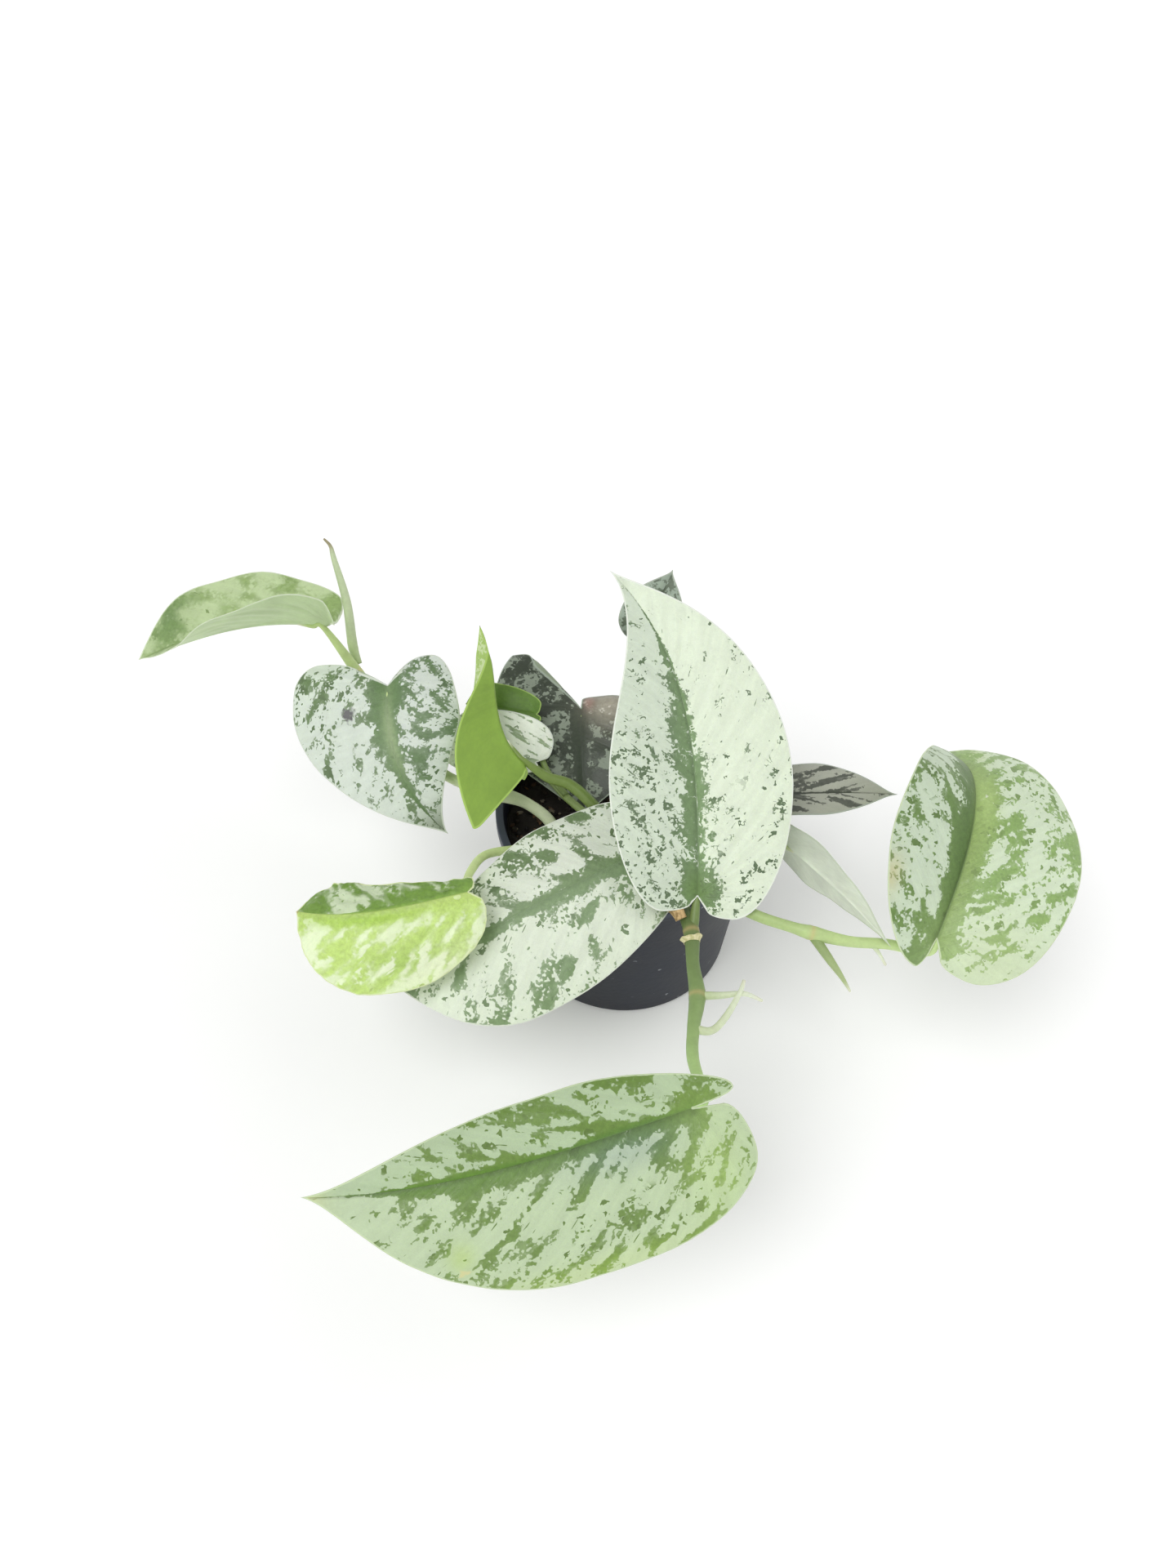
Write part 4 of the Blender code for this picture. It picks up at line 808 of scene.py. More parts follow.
def blade_under(name, paint):
    """The plain, matt underside with faint veins."""
    shade = Shade(f"{name}_under")
    vein = shade.attribute("vein")
    fine = shade.noise(vein, (1.2, 0.8, 1.0), detail=4.0)
    veins = shade.ramp(shade.noise(vein, (0.5, 0.06, 1.0), detail=3.0), 0.3, 0.7)
    broad = shade.noise(shade.attribute("flat"), 0.07, detail=3.0)
    rim = shade.split(shade.attribute("paint"))[2]
    color = shade.mix(veins, tuple(0.97 * value for value in paint.under), paint.under)
    color = shade.uneven(color, fine, 0.2, 0.9)
    color = shade.uneven(color, broad, 0.5, 0.75)
    color = shade.mix(shade.ramp(rim, 0.8, 0.3), color, paint.rim)
    shade.bump(fine * 0.5 + veins * 0.5, 0.0003)
    return shade.set(Base_Color=color, Roughness=shade.line(fine, 0.15, 0.42),
                     Sheen_Weight=0.1, Subsurface_Weight=0.12, Subsurface_Radius=(0.0012, 0.002, 0.0006))


# Meshes


def add(name, data):
    """A new object in the scene."""
    obj = bpy.data.objects.new(name, data)
    bpy.context.scene.collection.objects.link(obj)
    return obj


def mesh_object(name, points, faces, materials, face_material=None):
    """A smooth mesh object from points in mm."""
    mesh = bpy.data.meshes.new(name)
    mesh.from_pydata((np.asarray(points) * MM).tolist(), [], faces)
    for skin in materials:
        mesh.materials.append(skin)
    if face_material is not None:
        mesh.polygons.foreach_set("material_index", face_material)
    mesh.shade_smooth()
    return add(name, mesh)


def joined(meshes):
    """Several meshes as one: all points and all faces."""
    faces, start = [], 0
    for points, mesh_faces in meshes:
        faces += [tuple(i + start for i in face) for face in mesh_faces]
        start += len(points)
    return np.vstack([points for points, _ in meshes]), faces


def layer(mesh, name, values, domain="POINT"):
    """Stores three values for each point or corner as a vector, or four as a colour."""
    kind, field = {3: ("FLOAT_VECTOR", "vector"), 4: ("FLOAT_COLOR", "color")}[values.shape[1]]
    mesh.attributes.new(name, kind, domain).data.foreach_set(field, np.ascontiguousarray(values).ravel())


def dress(obj, node=None):
    """Hides the CAD node that a piece replaces, if any, and attaches the piece to the root body."""
    if node:
        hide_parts(node)
    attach(obj, "root")


# Blades


def column_shares():
    """Places across a half blade, closer together at the midrib and the margin."""
    even = np.linspace(0, 1, FINE_COLUMNS)
    return 0.5 * even + 0.5 * (1 - np.cos(math.pi * even)) / 2


def half_grid(half, sign, length):
    """Grids of a half blade, by row and column: flat x and y, way out along the vein, and the row's place."""
    rows = np.array(margin(half, length), float)
    reach = np.hypot(rows[:, :1] - rows[:, 2:3], rows[:, 1:2])
    share = column_shares()[None, :] * (1 - INSET / np.maximum(reach, 1))
    x = rows[:, 2:3] + (rows[:, :1] - rows[:, 2:3]) * share
    y = rows[:, 1:2] * share
    out = reach * share
    vein_x, vein_y = x[:, VEIN_COLUMN], y[:, VEIN_COLUMN]
    step = np.stack([np.diff(vein_x), np.diff(vein_y)], 1)
    vein = unit(np.stack([vein_x[1:] - rows[1:, 2], vein_y[1:] + 1e-6], 1))
    gaps = np.abs(step[:, 0] * vein[:, 1] - step[:, 1] * vein[:, 0])
    place = np.concatenate([[0], np.cumsum(gaps)])[:, None] + 0 * x
    return x, sign * y, out, place


def distance_to_rim(points, outline):
    """How far each flat point is from the outline, a closed row of flat points."""
    start, end = outline, np.roll(outline, -1, axis=0)
    along = end - start
    size = np.maximum((along**2).sum(1), 1e-9)
    away = points[:, None] - start[None]
    share = np.clip((away * along).sum(2) / size, 0, 1)
    return np.sqrt(((away - share[..., None] * along) ** 2).sum(2)).min(1)


def blade_grids(leaf, length):
    """Both halves as one list of grid points, with their faces and the outline as rows of grid indices."""
    grids, faces, rims, start = [], [], [], 0
    for half, sign in ((leaf.left, 1), (leaf.right, -1)):
        grid = half_grid(half, sign, length)
        grids.append([values.ravel() for values in grid])
        index = start + np.arange(grid[0].size).reshape(grid[0].shape)
        rings = np.stack([index[:-1, :-1], index[1:, :-1], index[1:, 1:], index[:-1, 1:]], -1)
        faces.append(rings.reshape(-1, 4)[:, ::sign])
        rims.append(np.concatenate([index[0], index[1:, -1]]))
        start += index.size
    outline = np.concatenate([rims[0], rims[1][::-1]])
    return [np.concatenate(pair) for pair in zip(*grids)], np.concatenate(faces), outline


def welded(x, y):
    """For each grid point, the number of its own vertex, and for each vertex one of its grid points."""
    keys = np.round(np.stack([x, y], 1) * 1e4).astype(np.int64)
    _, first, index = np.unique(keys, axis=0, return_index=True, return_inverse=True)
    return index.reshape(-1), first


def glow(along, across, places):
    """For each place (along, across, reach along, reach across, ...), each point's nearness, and the rest."""
    for at, off, reach, spread, *rest in places:
        yield bell(along - at, reach) * bell(across - off, spread), rest


def stroke_strength(x, y, length, width, stroke):
    """How near each flat point is to a line between two places, tapering to its end."""
    start = np.array([stroke[0] * length, stroke[1] * width])
    line = np.array([stroke[2] * length, stroke[3] * width]) - start
    away = np.stack([x, y], 1) - start
    share = np.clip(away @ line / (line @ line), 0, 1)
    return bell(np.linalg.norm(away - share[:, None] * line, axis=1), stroke[4] * (1.3 - 0.8 * share))


def green_and_silver(paint, place, side, near):
    """Both colours of each point as linear light. Near is 1 on the band beside the midrib."""
    green, band, pale = (np.array([linear(color) for color in pair])[side]
                         for pair in (paint.green, paint.band, paint.silver))
    green = green + (band - green) * near[:, None]
    # The washes hold the leaves' own tints together with painted sheen.
    for share, (green_tint_and_sheen, silver_tint_and_sheen) in glow(*place, paint.tints_and_sheen):
        green = green + (np.array(linear(green_tint_and_sheen)) - green) * share[:, None]
        pale = pale + (np.array(linear(silver_tint_and_sheen)) - pale) * share[:, None]
    return green, pale


def strongest_mark(paint, x, y, length, width):
    """The colour and strength of the mark that each point is nearest to."""
    mark = np.zeros((len(x), 4))
    for at, off, radius, color in paint.marks:
        strength = bell(x - at * length, radius) * bell(y - off * width, 1.3 * radius)
        mark[strength > mark[:, 3], :3] = linear(color)
        mark[:, 3] = np.maximum(mark[:, 3], strength)
    return mark


def markings(paint, leaf, length, x, y, out):
    """For each grid point: silver bias, fleck share, green, silver, and a mark with its strength."""
    side = (y < 0).astype(int)
    width = np.where(side, leaf.right.width, leaf.left.width)
    place = np.clip(x / length, -0.3, 1), y / width
    left_band, right_band = (np.interp(place[0], np.linspace(0, 1, len(band)), band)
                             for band in (paint.left_band, paint.right_band))
    bands = np.where(side, right_band, left_band)
    near = 1 - smoothstep(*BAND_FADE, out / np.maximum(bands, 0.05))
    base = bell(np.hypot(x - 2, y), paint.base_spot)
    bias = np.array(paint.cover)[side] - BAND_GREEN * near - BASE_GREEN * base
    for share, (amount,) in glow(*place, paint.patches):
        bias = bias + amount * share
    for stroke in paint.strokes:
        wide = leaf.left.width if stroke[1] + stroke[3] > 0 else leaf.right.width
        bias = bias - stroke[5] * stroke_strength(x, y, length, wide, stroke)
    flecks = np.array(paint.flecks)[side]
    for share, (amount,) in glow(*place, paint.clusters):
        flecks = flecks + amount * share
    green, pale = green_and_silver(paint, place, side, near)
    return bias, flecks, green, pale, strongest_mark(paint, x, y, length, width)


def undulation(paint, x, y, out, place, rim, seed):
    """How far the blade's middle surface stands off its smooth form, mm."""
    flat = np.stack([x, y, np.full_like(x, 7.3 * seed)], 1)
    height = paint.wrinkle * rough(flat, paint.wrinkle_size) * smoothstep(0, 6, out)
    quilt = paint.relief * np.cos(2 * math.pi * place / VEIN_SPACING) * smoothstep(4, 14, out)
    return height + quilt * smoothstep(0, 8, rim) * 0.6


def thickness(along, out, rim):
    """How far the upper and the under side lie from the middle surface, mm."""
    along = np.clip(along, 0, 1)
    thick = EDGE + (BLADE / 2 - SIDE_INSET - EDGE) * smoothstep(0, 3, rim)
    fade = smoothstep(0, 2, rim)
    groove = GROOVE * bell(out, GROOVE_REACH) * (1 - along)
    keel = FINE_KEEL * bell(out, KEEL_REACH) * (1 - KEEL_TAPER * along)
    return thick - groove * fade, thick + keel * fade


def rounded_edge(rim_edges, middle, normals, start):
    """Points just outside the rim: a number for each rim vertex, from start on, and their places."""
    outward = np.zeros_like(middle)
    for a, b in rim_edges:
        side = np.cross(middle[b] - middle[a], normals[a])
        outward[a] += side
        outward[b] += side
    rim = sorted({a for a, _ in rim_edges})
    return {v: start + i for i, v in enumerate(rim)}, middle[rim] + unit(outward[rim]) * EDGE


def closed_blade(rings, vertex, sides, middle, normals):
    """Both sides joined by a rounded edge: points, faces, and each face's grid points.

    Upper and under faces take turns.
    """
    count = len(middle)
    faces, corners, edges = [], [], {}
    for ring in rings.tolist():
        kept = [g for i, g in enumerate(ring) if vertex[g] != vertex[ring[i - 1]]]
        if len({vertex[g] for g in kept}) < 3:
            continue
        faces += [[int(vertex[g]) for g in kept], [int(vertex[g]) + count for g in reversed(kept)]]
        corners += [kept, kept[::-1]]
        for g, h in zip(kept, kept[1:] + kept[:1]):
            edges[int(vertex[g]), int(vertex[h])] = (g, h)
    rim_edges = {pair: grid for pair, grid in edges.items() if pair[::-1] not in edges}
    number, rounded_points = rounded_edge(rim_edges, middle, normals, 2 * count)
    for (a, b), (g, h) in sorted(rim_edges.items()):
        faces += [[b, a, number[a], number[b]], [a + count, b + count, number[b], number[a]]]
        corners += [[h, g, g, h], [g, h, h, g]]
    return np.concatenate([*sides, rounded_points]), faces, corners


def lay_markings(mesh, leaf, paint, seed, length, grid, corners):
    """Stores what the blade's materials read on the corners of its faces."""
    x, y, out, place, rim = grid
    bias, flecks, green, pale, mark = markings(paint, leaf, length, x, y, out)
    shift = LEAF_SHIFT * seed + 0 * x
    half = np.where(y < 0, HALF_SHIFT, 0.0)
    slant = math.radians(paint.slant)
    across = x * math.sin(slant) - abs(y) * math.cos(slant) + shift
    along = x * math.cos(slant) + abs(y) * math.sin(slant) + half
    grids = {
        "vein": (place + shift, out + half, shift), "flat": (across, along, shift),
        "paint": (bias, flecks, rim), "mark": tuple(mark.T),
        "tone": (*green.T, 0 * x + 1), "pale": (*pale.T, 0 * x + 1),
    }
    loops = np.concatenate(corners)
    for name, values in grids.items():
        layer(mesh, name, np.stack(values, 1)[loops], "CORNER")


def blade_object(name, leaf, paint, seed):
    """The fine blade that takes the place of a leaf's CAD solid."""
    midrib = Midrib(leaf)
    (x, y, out, place), rings, outline = blade_grids(leaf, midrib.length)
    vertex, first = welded(x, y)
    flat = np.stack([x, y], 1)
    rim = distance_to_rim(flat, flat[outline])
    quads = vertex[rings]
    triangles = np.concatenate([quads[:, [0, 1, 2]], quads[:, [0, 2, 3]]])
    triangles = triangles[[len(set(t)) == 3 for t in triangles.tolist()]]
    smooth = midrib.place(x[first], y[first])
    height = undulation(paint, x, y, out, place, rim, seed)[first]
    middle = smooth + vertex_normals(smooth, triangles) * height[:, None]
    normals = vertex_normals(middle, triangles)
    above, below = thickness(x[first] / midrib.length, out[first], rim[first])
    sides = (middle + normals * above[:, None], middle - normals * below[:, None])
    points, faces, corners = closed_blade(rings, vertex, sides, middle, normals)
    skins = (blade_upper(name, paint), blade_under(name, paint))
    obj = mesh_object(name.replace("leaf", "blade"), points, faces, skins, [0, 1] * (len(faces) // 2))
    lay_markings(obj.data, leaf, paint, seed, midrib.length, (x, y, out, place, rim), corners)
    dress(obj, name)


# Stems


STEM_COLOR = ((168, 190, 118), (190, 210, 142), 0.7)
# Tubes with other colours at their start and end, and how late they change: by vine and place in its list
# Partly painted shade and light: tubes inside the plant are darker, and the front stem grows bright towards
# the front leaf.
STEM_TONES_AND_SHADE = {
    ("vine_front", 0): ((72, 92, 38), (216, 250, 168), 2.2),
    ("vine_front", 1): ((96, 116, 60), (140, 162, 98), 0.7),
    ("vine_front", 2): ((178, 196, 136), (228, 234, 214), 0.7),
    ("vine_front", 3): ((196, 208, 164), (222, 230, 204), 0.7),
    ("vine_right", 0): ((126, 150, 82), (214, 236, 168), 1.0),
    ("vine_right", 1): ((196, 210, 160), (230, 235, 218), 0.7),
    ("vine_right", 2): ((128, 150, 88), (176, 192, 140), 0.9),
    ("vine_left", 0): ((204, 210, 186), (178, 200, 126), 0.7),
    ("vine_inner", 0): ((88, 106, 58), (118, 142, 62), 0.7),
    ("vine_inner", 2): ((176, 196, 124), (208, 226, 160), 0.7),
    ("vine_inner", 3): ((110, 130, 70), (140, 160, 96), 0.7),
    ("vine_inner", 4): ((110, 130, 70), (130, 152, 84), 0.7),
}


def stem_skin():
    shade = Shade("stem")
    _, node, tip = shade.split(shade.attribute("stem"))
    place = shade.position()
    fine = shade.noise(place, 900.0, detail=4.0)
    streak = shade.noise(place, 260.0, detail=3.0)
    # The tint holds painted shade and light along with the stems' own tones.
    color = shade.uneven(shade.attribute("tint", "Color"), streak, 0.3, 0.85)
    color = shade.mix(node * 0.45, color, (206, 176, 124))
    color = shade.mix(tip, color, (222, 224, 200))
    color = shade.uneven(color, fine, 0.16, 0.92)
    shade.bump(fine + streak * 0.5, 0.0002)
    return shade.set(Base_Color=color, Roughness=shade.line(fine, 0.2, 0.35),
                     Subsurface_Weight=0.1, Subsurface_Radius=(0.001, 0.0015, 0.0005))


def tube_points(centres, radii):
    """Rings of points round a curve, and one point past its end."""
    heading = unit(np.gradient(centres, axis=0))
    across = unit(np.cross(heading[0], (0.3, 1.0, 0.2)))
    angles = 2 * math.pi * np.arange(STEM_SIDES) / STEM_SIDES
    rings = []
    for centre, direction, radius in zip(centres, heading, radii):
        across = unit(across - (across @ direction) * direction)
        other = np.cross(direction, across)
        ring = radius * (np.cos(angles)[:, None] * across + np.sin(angles)[:, None] * other)
        rings.append(centre + ring)
    return np.vstack([*rings, centres[-1] + heading[-1] * radii[-1] * 0.6])


def tube_faces(rings):
    """The faces of a tube that starts flat and ends in a point."""
    pairs = [(i, (i + 1) % STEM_SIDES) for i in range(STEM_SIDES)]
    last = (rings - 1) * STEM_SIDES
    faces = [tuple(reversed(range(STEM_SIDES)))]
    for ring in range(0, last, STEM_SIDES):
        faces += [(ring + i, ring + j, ring + j + STEM_SIDES, ring + i + STEM_SIDES) for i, j in pairs]
    return faces + [(last + i, last + j, last + STEM_SIDES) for i, j in pairs]


def tube(route):
    """A fine round tube: points, faces, and for each point its way along, and how near a node or a tip."""
    curve = smooth_route(route)
    centres, radii = curve[:, :3], curve[:, 3].copy()
    reach = np.concatenate([[0], np.cumsum(np.linalg.norm(np.diff(centres, axis=0), axis=1))])
    node = np.zeros(len(reach))
    given = [point[3] for point in route]
    for i in range(1, len(given) - 1):
        if given[i] > max(given[i - 1], given[i + 1]):
            away = reach - reach[i * SPAN_STEPS]
            radii *= 1 + NODE_SWELLING * bell(away, NODE_REACH) - NODE_RING * bell(away, NODE_RING_REACH)
            node = np.maximum(node, bell(away, NODE_SPOT))
    tip = (1 - np.clip((reach[-1] - reach) / TIP_REACH, 0, 1)) * (given[-1] < TIP_RADIUS)
    values = np.repeat(np.stack([reach, node, tip], 1), STEM_SIDES, axis=0)
    return tube_points(centres, radii), tube_faces(len(centres)), np.vstack([values, values[-1:]])


def seat(leaf, side_on):
    """The last points of a petiole, which runs on under the midrib."""
    places, radii = zip(*SEAT)
    centre, _, _, face = Midrib(leaf).frame(np.array(places))
    below = [point - up * (radius + UNDER_BLADE) for point, up, radius in zip(centre, face, radii)]
    run = [(*point, radius) for point, radius in zip(below, radii)][1:]
    if side_on:
        return run
    droop = math.radians(min(leaf.left.fold[0], leaf.right.fold[0], 0))
    return [(*(centre[0] - face[0] * (KEEL + (BLADE + PETIOLE) / math.cos(droop))), PETIOLE)] + run


def full_route(part, rooted):
    """A tube's route with its start in the mix, if it is rooted, and its end under its blade."""
    route = list(part["route"])
    if rooted:
        x, y, _, radius = route[0]
        route = [(x, y, SOIL_TOP + z, radius) for z in (-4, 1)] + route
    if "leaf" in part:
        route += seat(LEAVES[part["leaf"]], part.get("side_on", False))
    return route


def stem_object(name, parts, skin):
    """All tubes of a vine as one piece."""
    meshes, values, tints = [], [], []
    for number, part in enumerate(parts):
        *mesh, part_values = tube(full_route(part, number == 0))
        meshes.append(mesh)
        values.append(part_values)
        # Start and end colours, partly the stem's own tone and partly painted shade and light.
        first, last, late = STEM_TONES_AND_SHADE.get((name, number), STEM_COLOR)
        share = (part_values[:, :1] / part_values[:, 0].max()) ** late
        first, last = np.array([*linear(first), 1.0]), np.array([*linear(last), 1.0])
        tints.append(first + (last - first) * share)
    obj = mesh_object(name.replace("vine", "stem"), *joined(meshes), (skin,))
    layer(obj.data, "stem", np.vstack(values))
    layer(obj.data, "tint", np.vstack(tints))
    dress(obj, name)


def sheath_skin(name, dark, light):
    shade = Shade(name, roughness=0.7)
    fibre = shade.noise(shade.position(), (900.0, 200.0, 900.0), detail=4.0)
    shade.bump(fibre, 0.0002, 0.6)
    return shade.set(Base_Color=shade.mix(shade.ramp(fibre, 0.35, 0.65), dark, light),
                     Roughness=shade.line(fibre, 0.3, 0.5))


def sheet_faces(rows, columns):
    """Faces of two grids of points, one over the other, closed along their border."""
    count = rows * columns
    faces = []
    for a in (row * columns + column for row in range(rows - 1) for column in range(columns - 1)):
        b, c, d = a + 1, a + columns + 1, a + columns
        faces += [(a, b, c, d), (d + count, c + count, b + count, a + count)]
    border = [*range(columns), *range(2 * columns - 1, count, columns),
              *range(count - 2, count - columns - 1, -1), *range(count - 2 * columns, 0, -columns)]
    return faces + [(b, a, a + count, b + count) for a, b in zip(border, border[1:] + border[:1])]


def sheath_object(name, start, end, radius, spread, flare, skin):
    """A thin dry sheath that curls round a stem and is torn at its end. Lengths in mm, spread in degrees."""
    start, end = np.array(start, float), np.array(end, float)
    length = np.linalg.norm(end - start)
    along = (end - start) / length
    side = unit(np.cross(along, (0.0, 0.0, 1.0)))
    above = np.cross(side, along)
    inner, outer = [], []
    for share in np.linspace(0, 1, SHEATH_ROWS):
        for turn in np.linspace(-1, 1, SHEATH_COLUMNS):
            angle = turn * math.radians(spread)
            out = math.cos(angle) * above + math.sin(angle) * side
            torn = 1 + 0.5 * noise.noise(Vector((4 * turn, 0.3, length)))
            centre = start + along * length * share * torn
            reach = radius + flare * share**2 * (1 + 0.6 * noise.noise(Vector((5 * turn, share, radius))))
            inner.append(centre + out * reach)
            outer.append(centre + out * (reach + SHEATH))
    obj = mesh_object(name, inner + outer, sheet_faces(SHEATH_ROWS, SHEATH_COLUMNS), (skin,))
    dress(obj)


def rolled_skin():
    shade = Shade("leaf_rolled")
    along = shade.split(shade.attribute("stem"))[0]
    fine = shade.noise(shade.position(), 700.0, detail=4.0)
    color = shade.mix(shade.ramp(along, 6.0, 16.0), (184, 202, 150), (190, 205, 164))
    color = shade.mix(shade.ramp(along, 43.0, 48.0), color, (150, 142, 108))
    shade.bump(fine, 0.0002)
    return shade.set(Base_Color=shade.uneven(color, fine, 0.3, 0.85), Roughness=shade.line(fine, 0.2, 0.35))


def rolled_object():
    points, faces, values = tube(ROLLED)
    obj = mesh_object("rolled_blade", points, faces, (rolled_skin(),))
    layer(obj.data, "stem", values)
    dress(obj, "leaf_rolled")


# Pot and potting mix


def pot_skin():
    shade = Shade("pot_plastic")
    place = shade.position()
    height = shade.split(place)[2]
    peel = shade.noise(place, 420.0, detail=3.0)
    cloud = shade.noise(place, 26.0, detail=4.0)
    speck = shade.ramp(shade.cells(place, 900.0), 0.994, 0.999)
    color = shade.mix(shade.ramp(cloud, 0.3, 0.75), (18, 22, 33), (26, 31, 45))
    # Painted highlight: the band at the top of the rim is mixed half way to a light grey.
    color = shade.mix(shade.ramp(height, 0.0765, 0.0805) * 0.5, color, (84, 90, 104))
    color = shade.mix(speck * shade.ramp(cloud, 0.45, 0.6), color, (130, 134, 138))
    shade.bump(peel, 0.0002, 0.35)
    return shade.set(Base_Color=color, Roughness=shade.line(cloud, 0.25, 0.35), Specular_IOR_Level=0.3)


def lathe(profile, segments):
    """A closed ring or disc turned about Z from a profile of (radius, z) that runs anticlockwise."""
    points, rings = [], []
    for radius, z in profile:
        if radius == 0:
            rings.append([len(points)] * segments)
            points.append((0, 0, z))
            continue
        rings.append(list(range(len(points), len(points) + segments)))
        for i in range(segments):
            angle = 2 * math.pi * i / segments
            points.append((radius * math.cos(angle), radius * math.sin(angle), z))
    faces = []
    for lower, upper in zip(rings, rings[1:]):
        for i in range(segments):
            j = (i + 1) % segments
            ring = list(dict.fromkeys((lower[i], lower[j], upper[j], upper[i])))
            if len(ring) > 2:
                faces.append(tuple(ring))
    return np.array(points), faces


def rounded(corners, radius, steps=5):
    """A profile with its corners rounded."""
    corners = np.array(corners, float)
    profile = [tuple(corners[0])]
    for before, corner, after in zip(corners, corners[1:], corners[2:]):
        size = min(radius, 0.45 * np.linalg.norm(before - corner), 0.45 * np.linalg.norm(after - corner))
        start = corner + unit(before - corner) * size
        end = corner + unit(after - corner) * size
        for share in np.linspace(0, 1, steps):
            point = (1 - share) ** 2 * start + 2 * share * (1 - share) * corner + share**2 * end
            profile.append(tuple(point))
    return profile + [tuple(corners[-1])]


def pot_object():
    skin = pot_skin()
    inner_top, inner_base = WALL_TOP_RADIUS - WALL, BASE_RADIUS - WALL
    shoulder = POT_HEIGHT - RIM_BAND
    profile = rounded([
        (0, 0), (BASE_RADIUS - BASE_BEVEL, 0), (BASE_RADIUS, BASE_BEVEL),
        (WALL_TOP_RADIUS, shoulder - RIM_STEP), (RIM_RADIUS, shoulder), (RIM_RADIUS, POT_HEIGHT),
        (inner_top, POT_HEIGHT), (inner_top, POT_HEIGHT - LIP_SLOPE), (inner_base, FLOOR), (0, FLOOR),
    ], POT_ROUNDING)
    profile[0], profile[-1] = (0, 0), (0, FLOOR)
    pot = mesh_object("pot_shell", *lathe(profile, ROUND_SEGMENTS), (skin,))
    hole = [(0, -1), (DRAIN_RADIUS, -1), (DRAIN_RADIUS, FLOOR + 1), (0, FLOOR + 1)]
    drills = []
    for i in range(DRAIN_HOLES):
        angle = 2 * math.pi * (i + 0.5) / DRAIN_HOLES
        points, faces = lathe(hole, DRAIN_SIDES)
        points = points + (DRAIN_RING * math.cos(angle), DRAIN_RING * math.sin(angle), 0)
        drills.append(mesh_object(f"drain_{i}", points, faces, (skin,)))
    cut(pot, drills)
    pot.data.set_sharp_from_angle(angle=math.radians(40))
    dress(pot, "pot")


def cut(obj, drills):
    """Takes the drills' forms out of the object, and then deletes the drills."""
    tools = bpy.data.collections.new("tools")
    bpy.context.scene.collection.children.link(tools)
    for drill in drills:
        bpy.context.scene.collection.objects.unlink(drill)
        tools.objects.link(drill)
    change = obj.modifiers.new("cut", "BOOLEAN")
    change.operation = "DIFFERENCE"
    change.operand_type = "COLLECTION"
    change.collection = tools
    bpy.context.view_layer.update()
    shaped = bpy.data.meshes.new_from_object(obj.evaluated_get(bpy.context.evaluated_depsgraph_get()))
    obj.modifiers.remove(change)
    obj.data = shaped
    for drill in drills:
        bpy.data.objects.remove(drill, do_unlink=True)
    bpy.data.collections.remove(tools)


SOIL_COLOR = (40, 34, 30)
BIT_COLORS = ((50, 42, 36), (84, 60, 42), (104, 76, 52), (36, 31, 28), (32, 28, 26), (56, 46, 38),
              (128, 118, 104))


def soil_skin():
    shade = Shade("potting_mix", roughness=0.95)
    place = shade.position()
    grit = shade.noise(place, 700.0, detail=5.0, roughness=0.7)
    lump = shade.noise(place, 120.0, detail=4.0)
    color = shade.uneven(shade.attribute("bit", "Color"), grit, 1.1, 0.35)
    shade.bump(grit, 0.0006, 0.8)
    return shade.set(Base_Color=shade.uneven(color, lump, 0.8, 0.5))


def wall_inside(z):
    """The pot's inner radius at a height."""
    share = (z - FLOOR) / (POT_HEIGHT - LIP_SLOPE - FLOOR)
    return BASE_RADIUS - WALL + share * (WALL_TOP_RADIUS - BASE_RADIUS)


def crumb(x, y):
    """Uneven height of the potting mix."""
    return SOIL_RELIEF * math.sin(0.31 * x + 1.3 * math.sin(0.23 * y)) * math.cos(0.27 * y + 0.4)


def soil_body(edge):
    """The potting mix as one body with a rough top: points and faces."""
    bottom = FLOOR + SOIL_ROOM
    profile = [(0, bottom), (wall_inside(bottom) - SOIL_ROOM, bottom), (edge, SOIL_TOP - 1.5)]
    profile += [(edge * share, SOIL_TOP) for share in np.linspace(1, 0, SOIL_RINGS)[:-1]] + [(0, SOIL_TOP)]
    points, faces = lathe(profile, ROUND_SEGMENTS)
    top = points[:, 2] > SOIL_TOP - 0.5
    lift = np.array([crumb(x, y) for x, y, _ in points[top]])
    lift = lift * smoothstep(0, 3, edge - np.hypot(*points[top, :2].T))
    points[top, 2] += lift + 1.1 * rough(points[top], 3.2, 3)
    return points, faces


def granule(edge, random):
    """A small rough lump of bark or peat somewhere on the mix: points and faces."""
    radius, angle = (edge - 1.5) * math.sqrt(random.random()), random.uniform(0, 2 * math.pi)
    x, y = radius * math.cos(angle), radius * math.sin(angle)
    points, faces = lathe([(0, -0.5), (0.36, -0.36), (0.5, 0.0), (0.36, 0.36), (0, 0.5)], 8)
    points = points * (1 + 0.35 * random.uniform(-1, 1, (len(points), 1)))
    size = random.uniform(1.2, 3.6) * np.array([1.0, random.uniform(0.4, 0.9), random.uniform(0.3, 0.7)])
    turn = Matrix.Rotation(random.uniform(0, 6.28), 3, "Z")
    turn = turn @ Matrix.Rotation(random.uniform(-0.6, 0.6), 3, "X")
    place = (x, y, SOIL_TOP + crumb(x, y) + random.uniform(0.1, 0.9))
    return (points * size) @ np.array(turn).T + place, faces


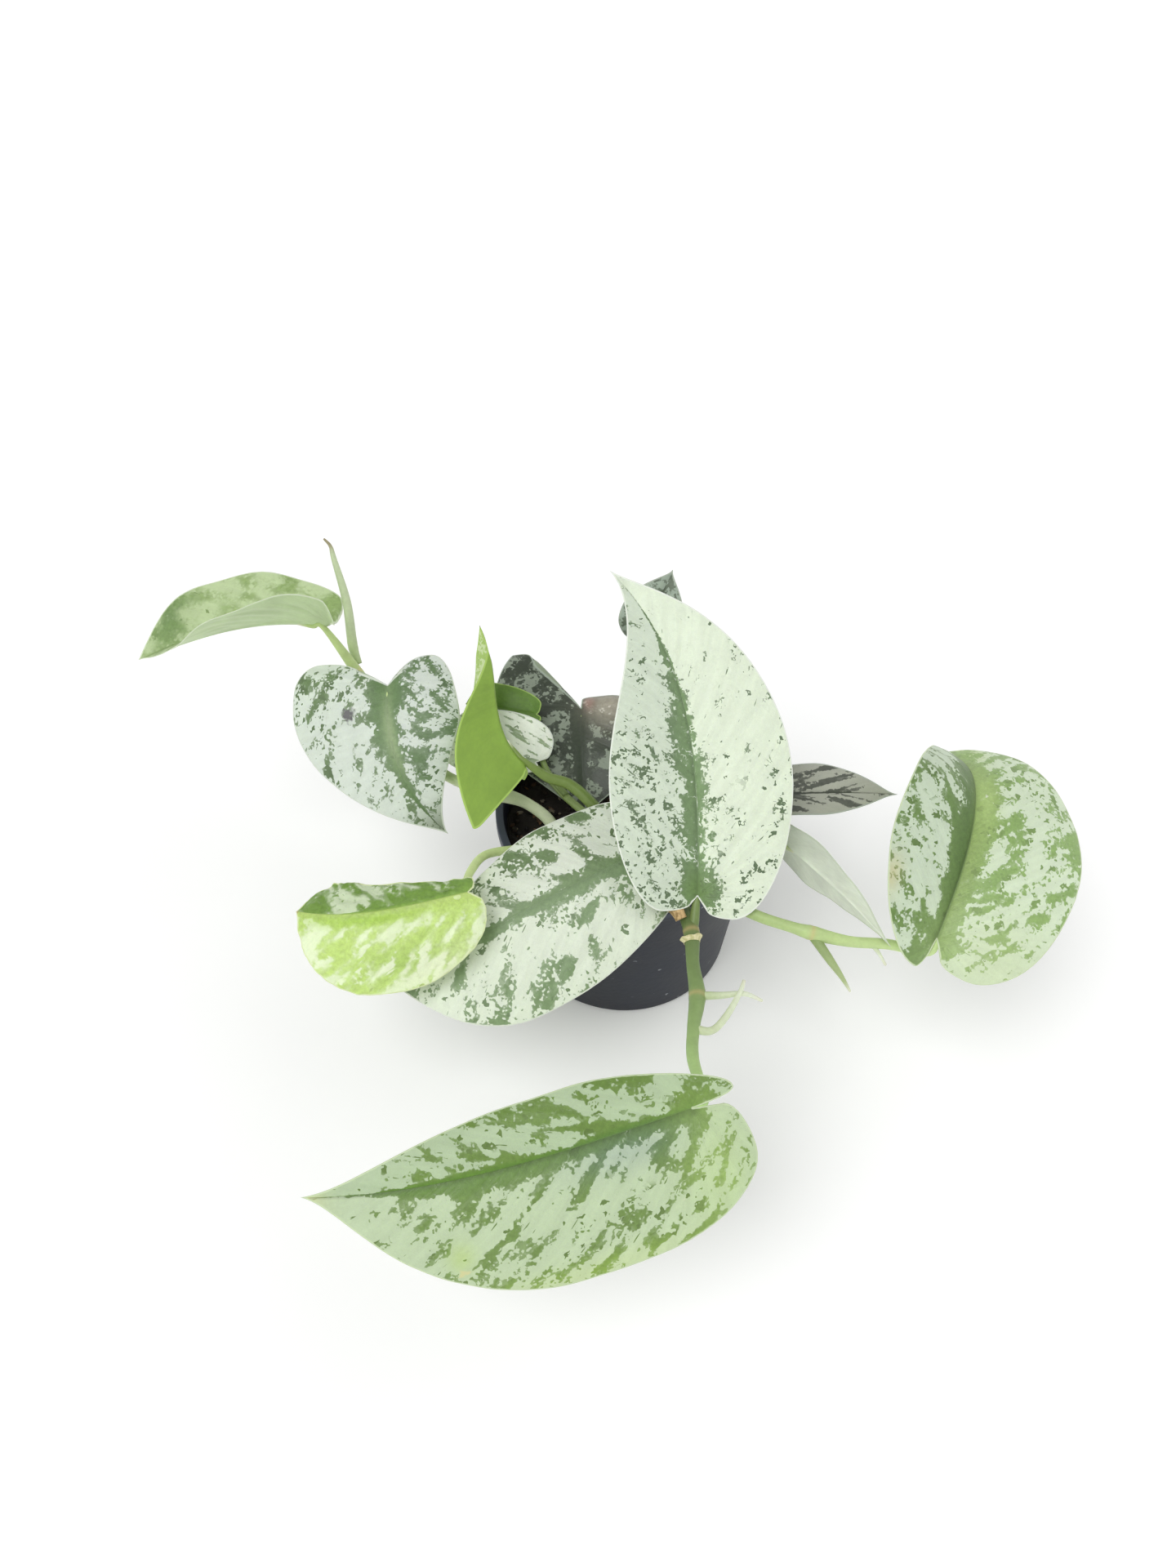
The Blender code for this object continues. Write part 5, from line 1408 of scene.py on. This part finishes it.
def soil_object():
    random = np.random.default_rng(SOIL_SEED)
    edge = wall_inside(SOIL_TOP) - SOIL_EDGE_ROOM
    meshes, colors = [soil_body(edge)], [SOIL_COLOR]
    for _ in range(GRANULES):
        meshes.append(granule(edge, random))
        colors.append(BIT_COLORS[int(random.integers(len(BIT_COLORS)))])
    soil = mesh_object("potting_mix", *joined(meshes), (soil_skin(),))
    rows = [np.tile([*linear(color), 1.0], (len(points), 1)) for (points, _), color in zip(meshes, colors)]
    layer(soil.data, "bit", np.vstack(rows))
    dress(soil, "soil")


# Stage


def floor():
    shade = Shade("floor_white", roughness=0.9)
    shade.set(Base_Color=(0.93, 0.93, 0.93, 1.0), Emission_Color=(1.0, 1.0, 1.0, 1.0), Emission_Strength=0.12)
    corners = [(x * FLOOR_REACH, y * FLOOR_REACH, -0.5) for x, y in ((-1, -1), (1, -1), (1, 1), (-1, 1))]
    mesh_object("floor", corners, [(0, 1, 2, 3)], (shade.material,))


def sun(name, place, spread, strength):
    """Soft light that falls evenly all over, from the side where place is."""
    data = bpy.data.lights.new(name, "SUN")
    data.angle = math.radians(spread)
    data.energy = strength
    add(name, data).rotation_euler = (-Vector(place)).to_track_quat("-Z", "Y").to_euler()


def lights():
    """Even light from a white room that is darker overhead, with two soft suns."""
    world = bpy.data.worlds.new("studio")
    world.use_nodes = True
    nodes, links = world.node_tree.nodes, world.node_tree.links
    place, split, fade = (nodes.new(f"ShaderNode{kind}") for kind in ("TexCoord", "SeparateXYZ", "MapRange"))
    for socket, value in ROOM_FADE.items():
        fade.inputs[socket].default_value = value
    background = nodes["Background"]
    background.inputs["Color"].default_value = (1, 1, 1, 1)
    links.new(place.outputs["Generated"], split.inputs[0])
    links.new(split.outputs["Z"], fade.inputs["Value"])
    links.new(fade.outputs["Result"], background.inputs["Strength"])
    bpy.context.scene.world = world
    sun("key", (-0.55, -0.6, 1.5), 34, 1.4)
    sun("fill", (0.9, 0.1, 1.2), 50, 0.5)


def camera():
    """The photograph's camera, looking down along +Y."""
    pitch, roll = math.radians(CAMERA_PITCH), math.radians(CAMERA_ROLL)
    forward = Vector((0, math.cos(pitch), -math.sin(pitch)))
    level = Vector((1, 0, 0))
    above = level.cross(forward)
    right = math.cos(roll) * level + math.sin(roll) * above
    up = -math.sin(roll) * level + math.cos(roll) * above
    data = bpy.data.cameras.new("photo")
    data.lens = CAMERA_LENS
    data.clip_start = 0.01
    obj = add("photo", data)
    turn = Matrix((right, up, -forward)).transposed().to_4x4()
    obj.matrix_world = Matrix.Translation(CAMERA_PLACE) @ turn
    bpy.context.scene.camera = obj


camera()
lights()
floor()
pot_object()
soil_object()
skin = stem_skin()
for vine, parts in VINES.items():
    stem_object(vine, parts, skin)
for seed, (leaf_name, leaf) in enumerate(LEAVES.items(), 1):
    blade_object(leaf_name, leaf, PAINTS[leaf_name], seed)
rolled_object()
tan = sheath_skin("dry_sheath", (142, 116, 70), (202, 172, 122))
pale = sheath_skin("pale_sheath", (186, 184, 128), (226, 218, 176))
sheath_object("sheath_large", (17.5, -58, 91), (14.6, -52.5, 94), 1.9, 120, 1.4, tan)
sheath_object("sheath_ring", (21, -66.2, 88.8), (20.8, -64.4, 89.1), 2.7, 150, 0.9, pale)
bpy.context.scene.view_settings.view_transform = "Standard"
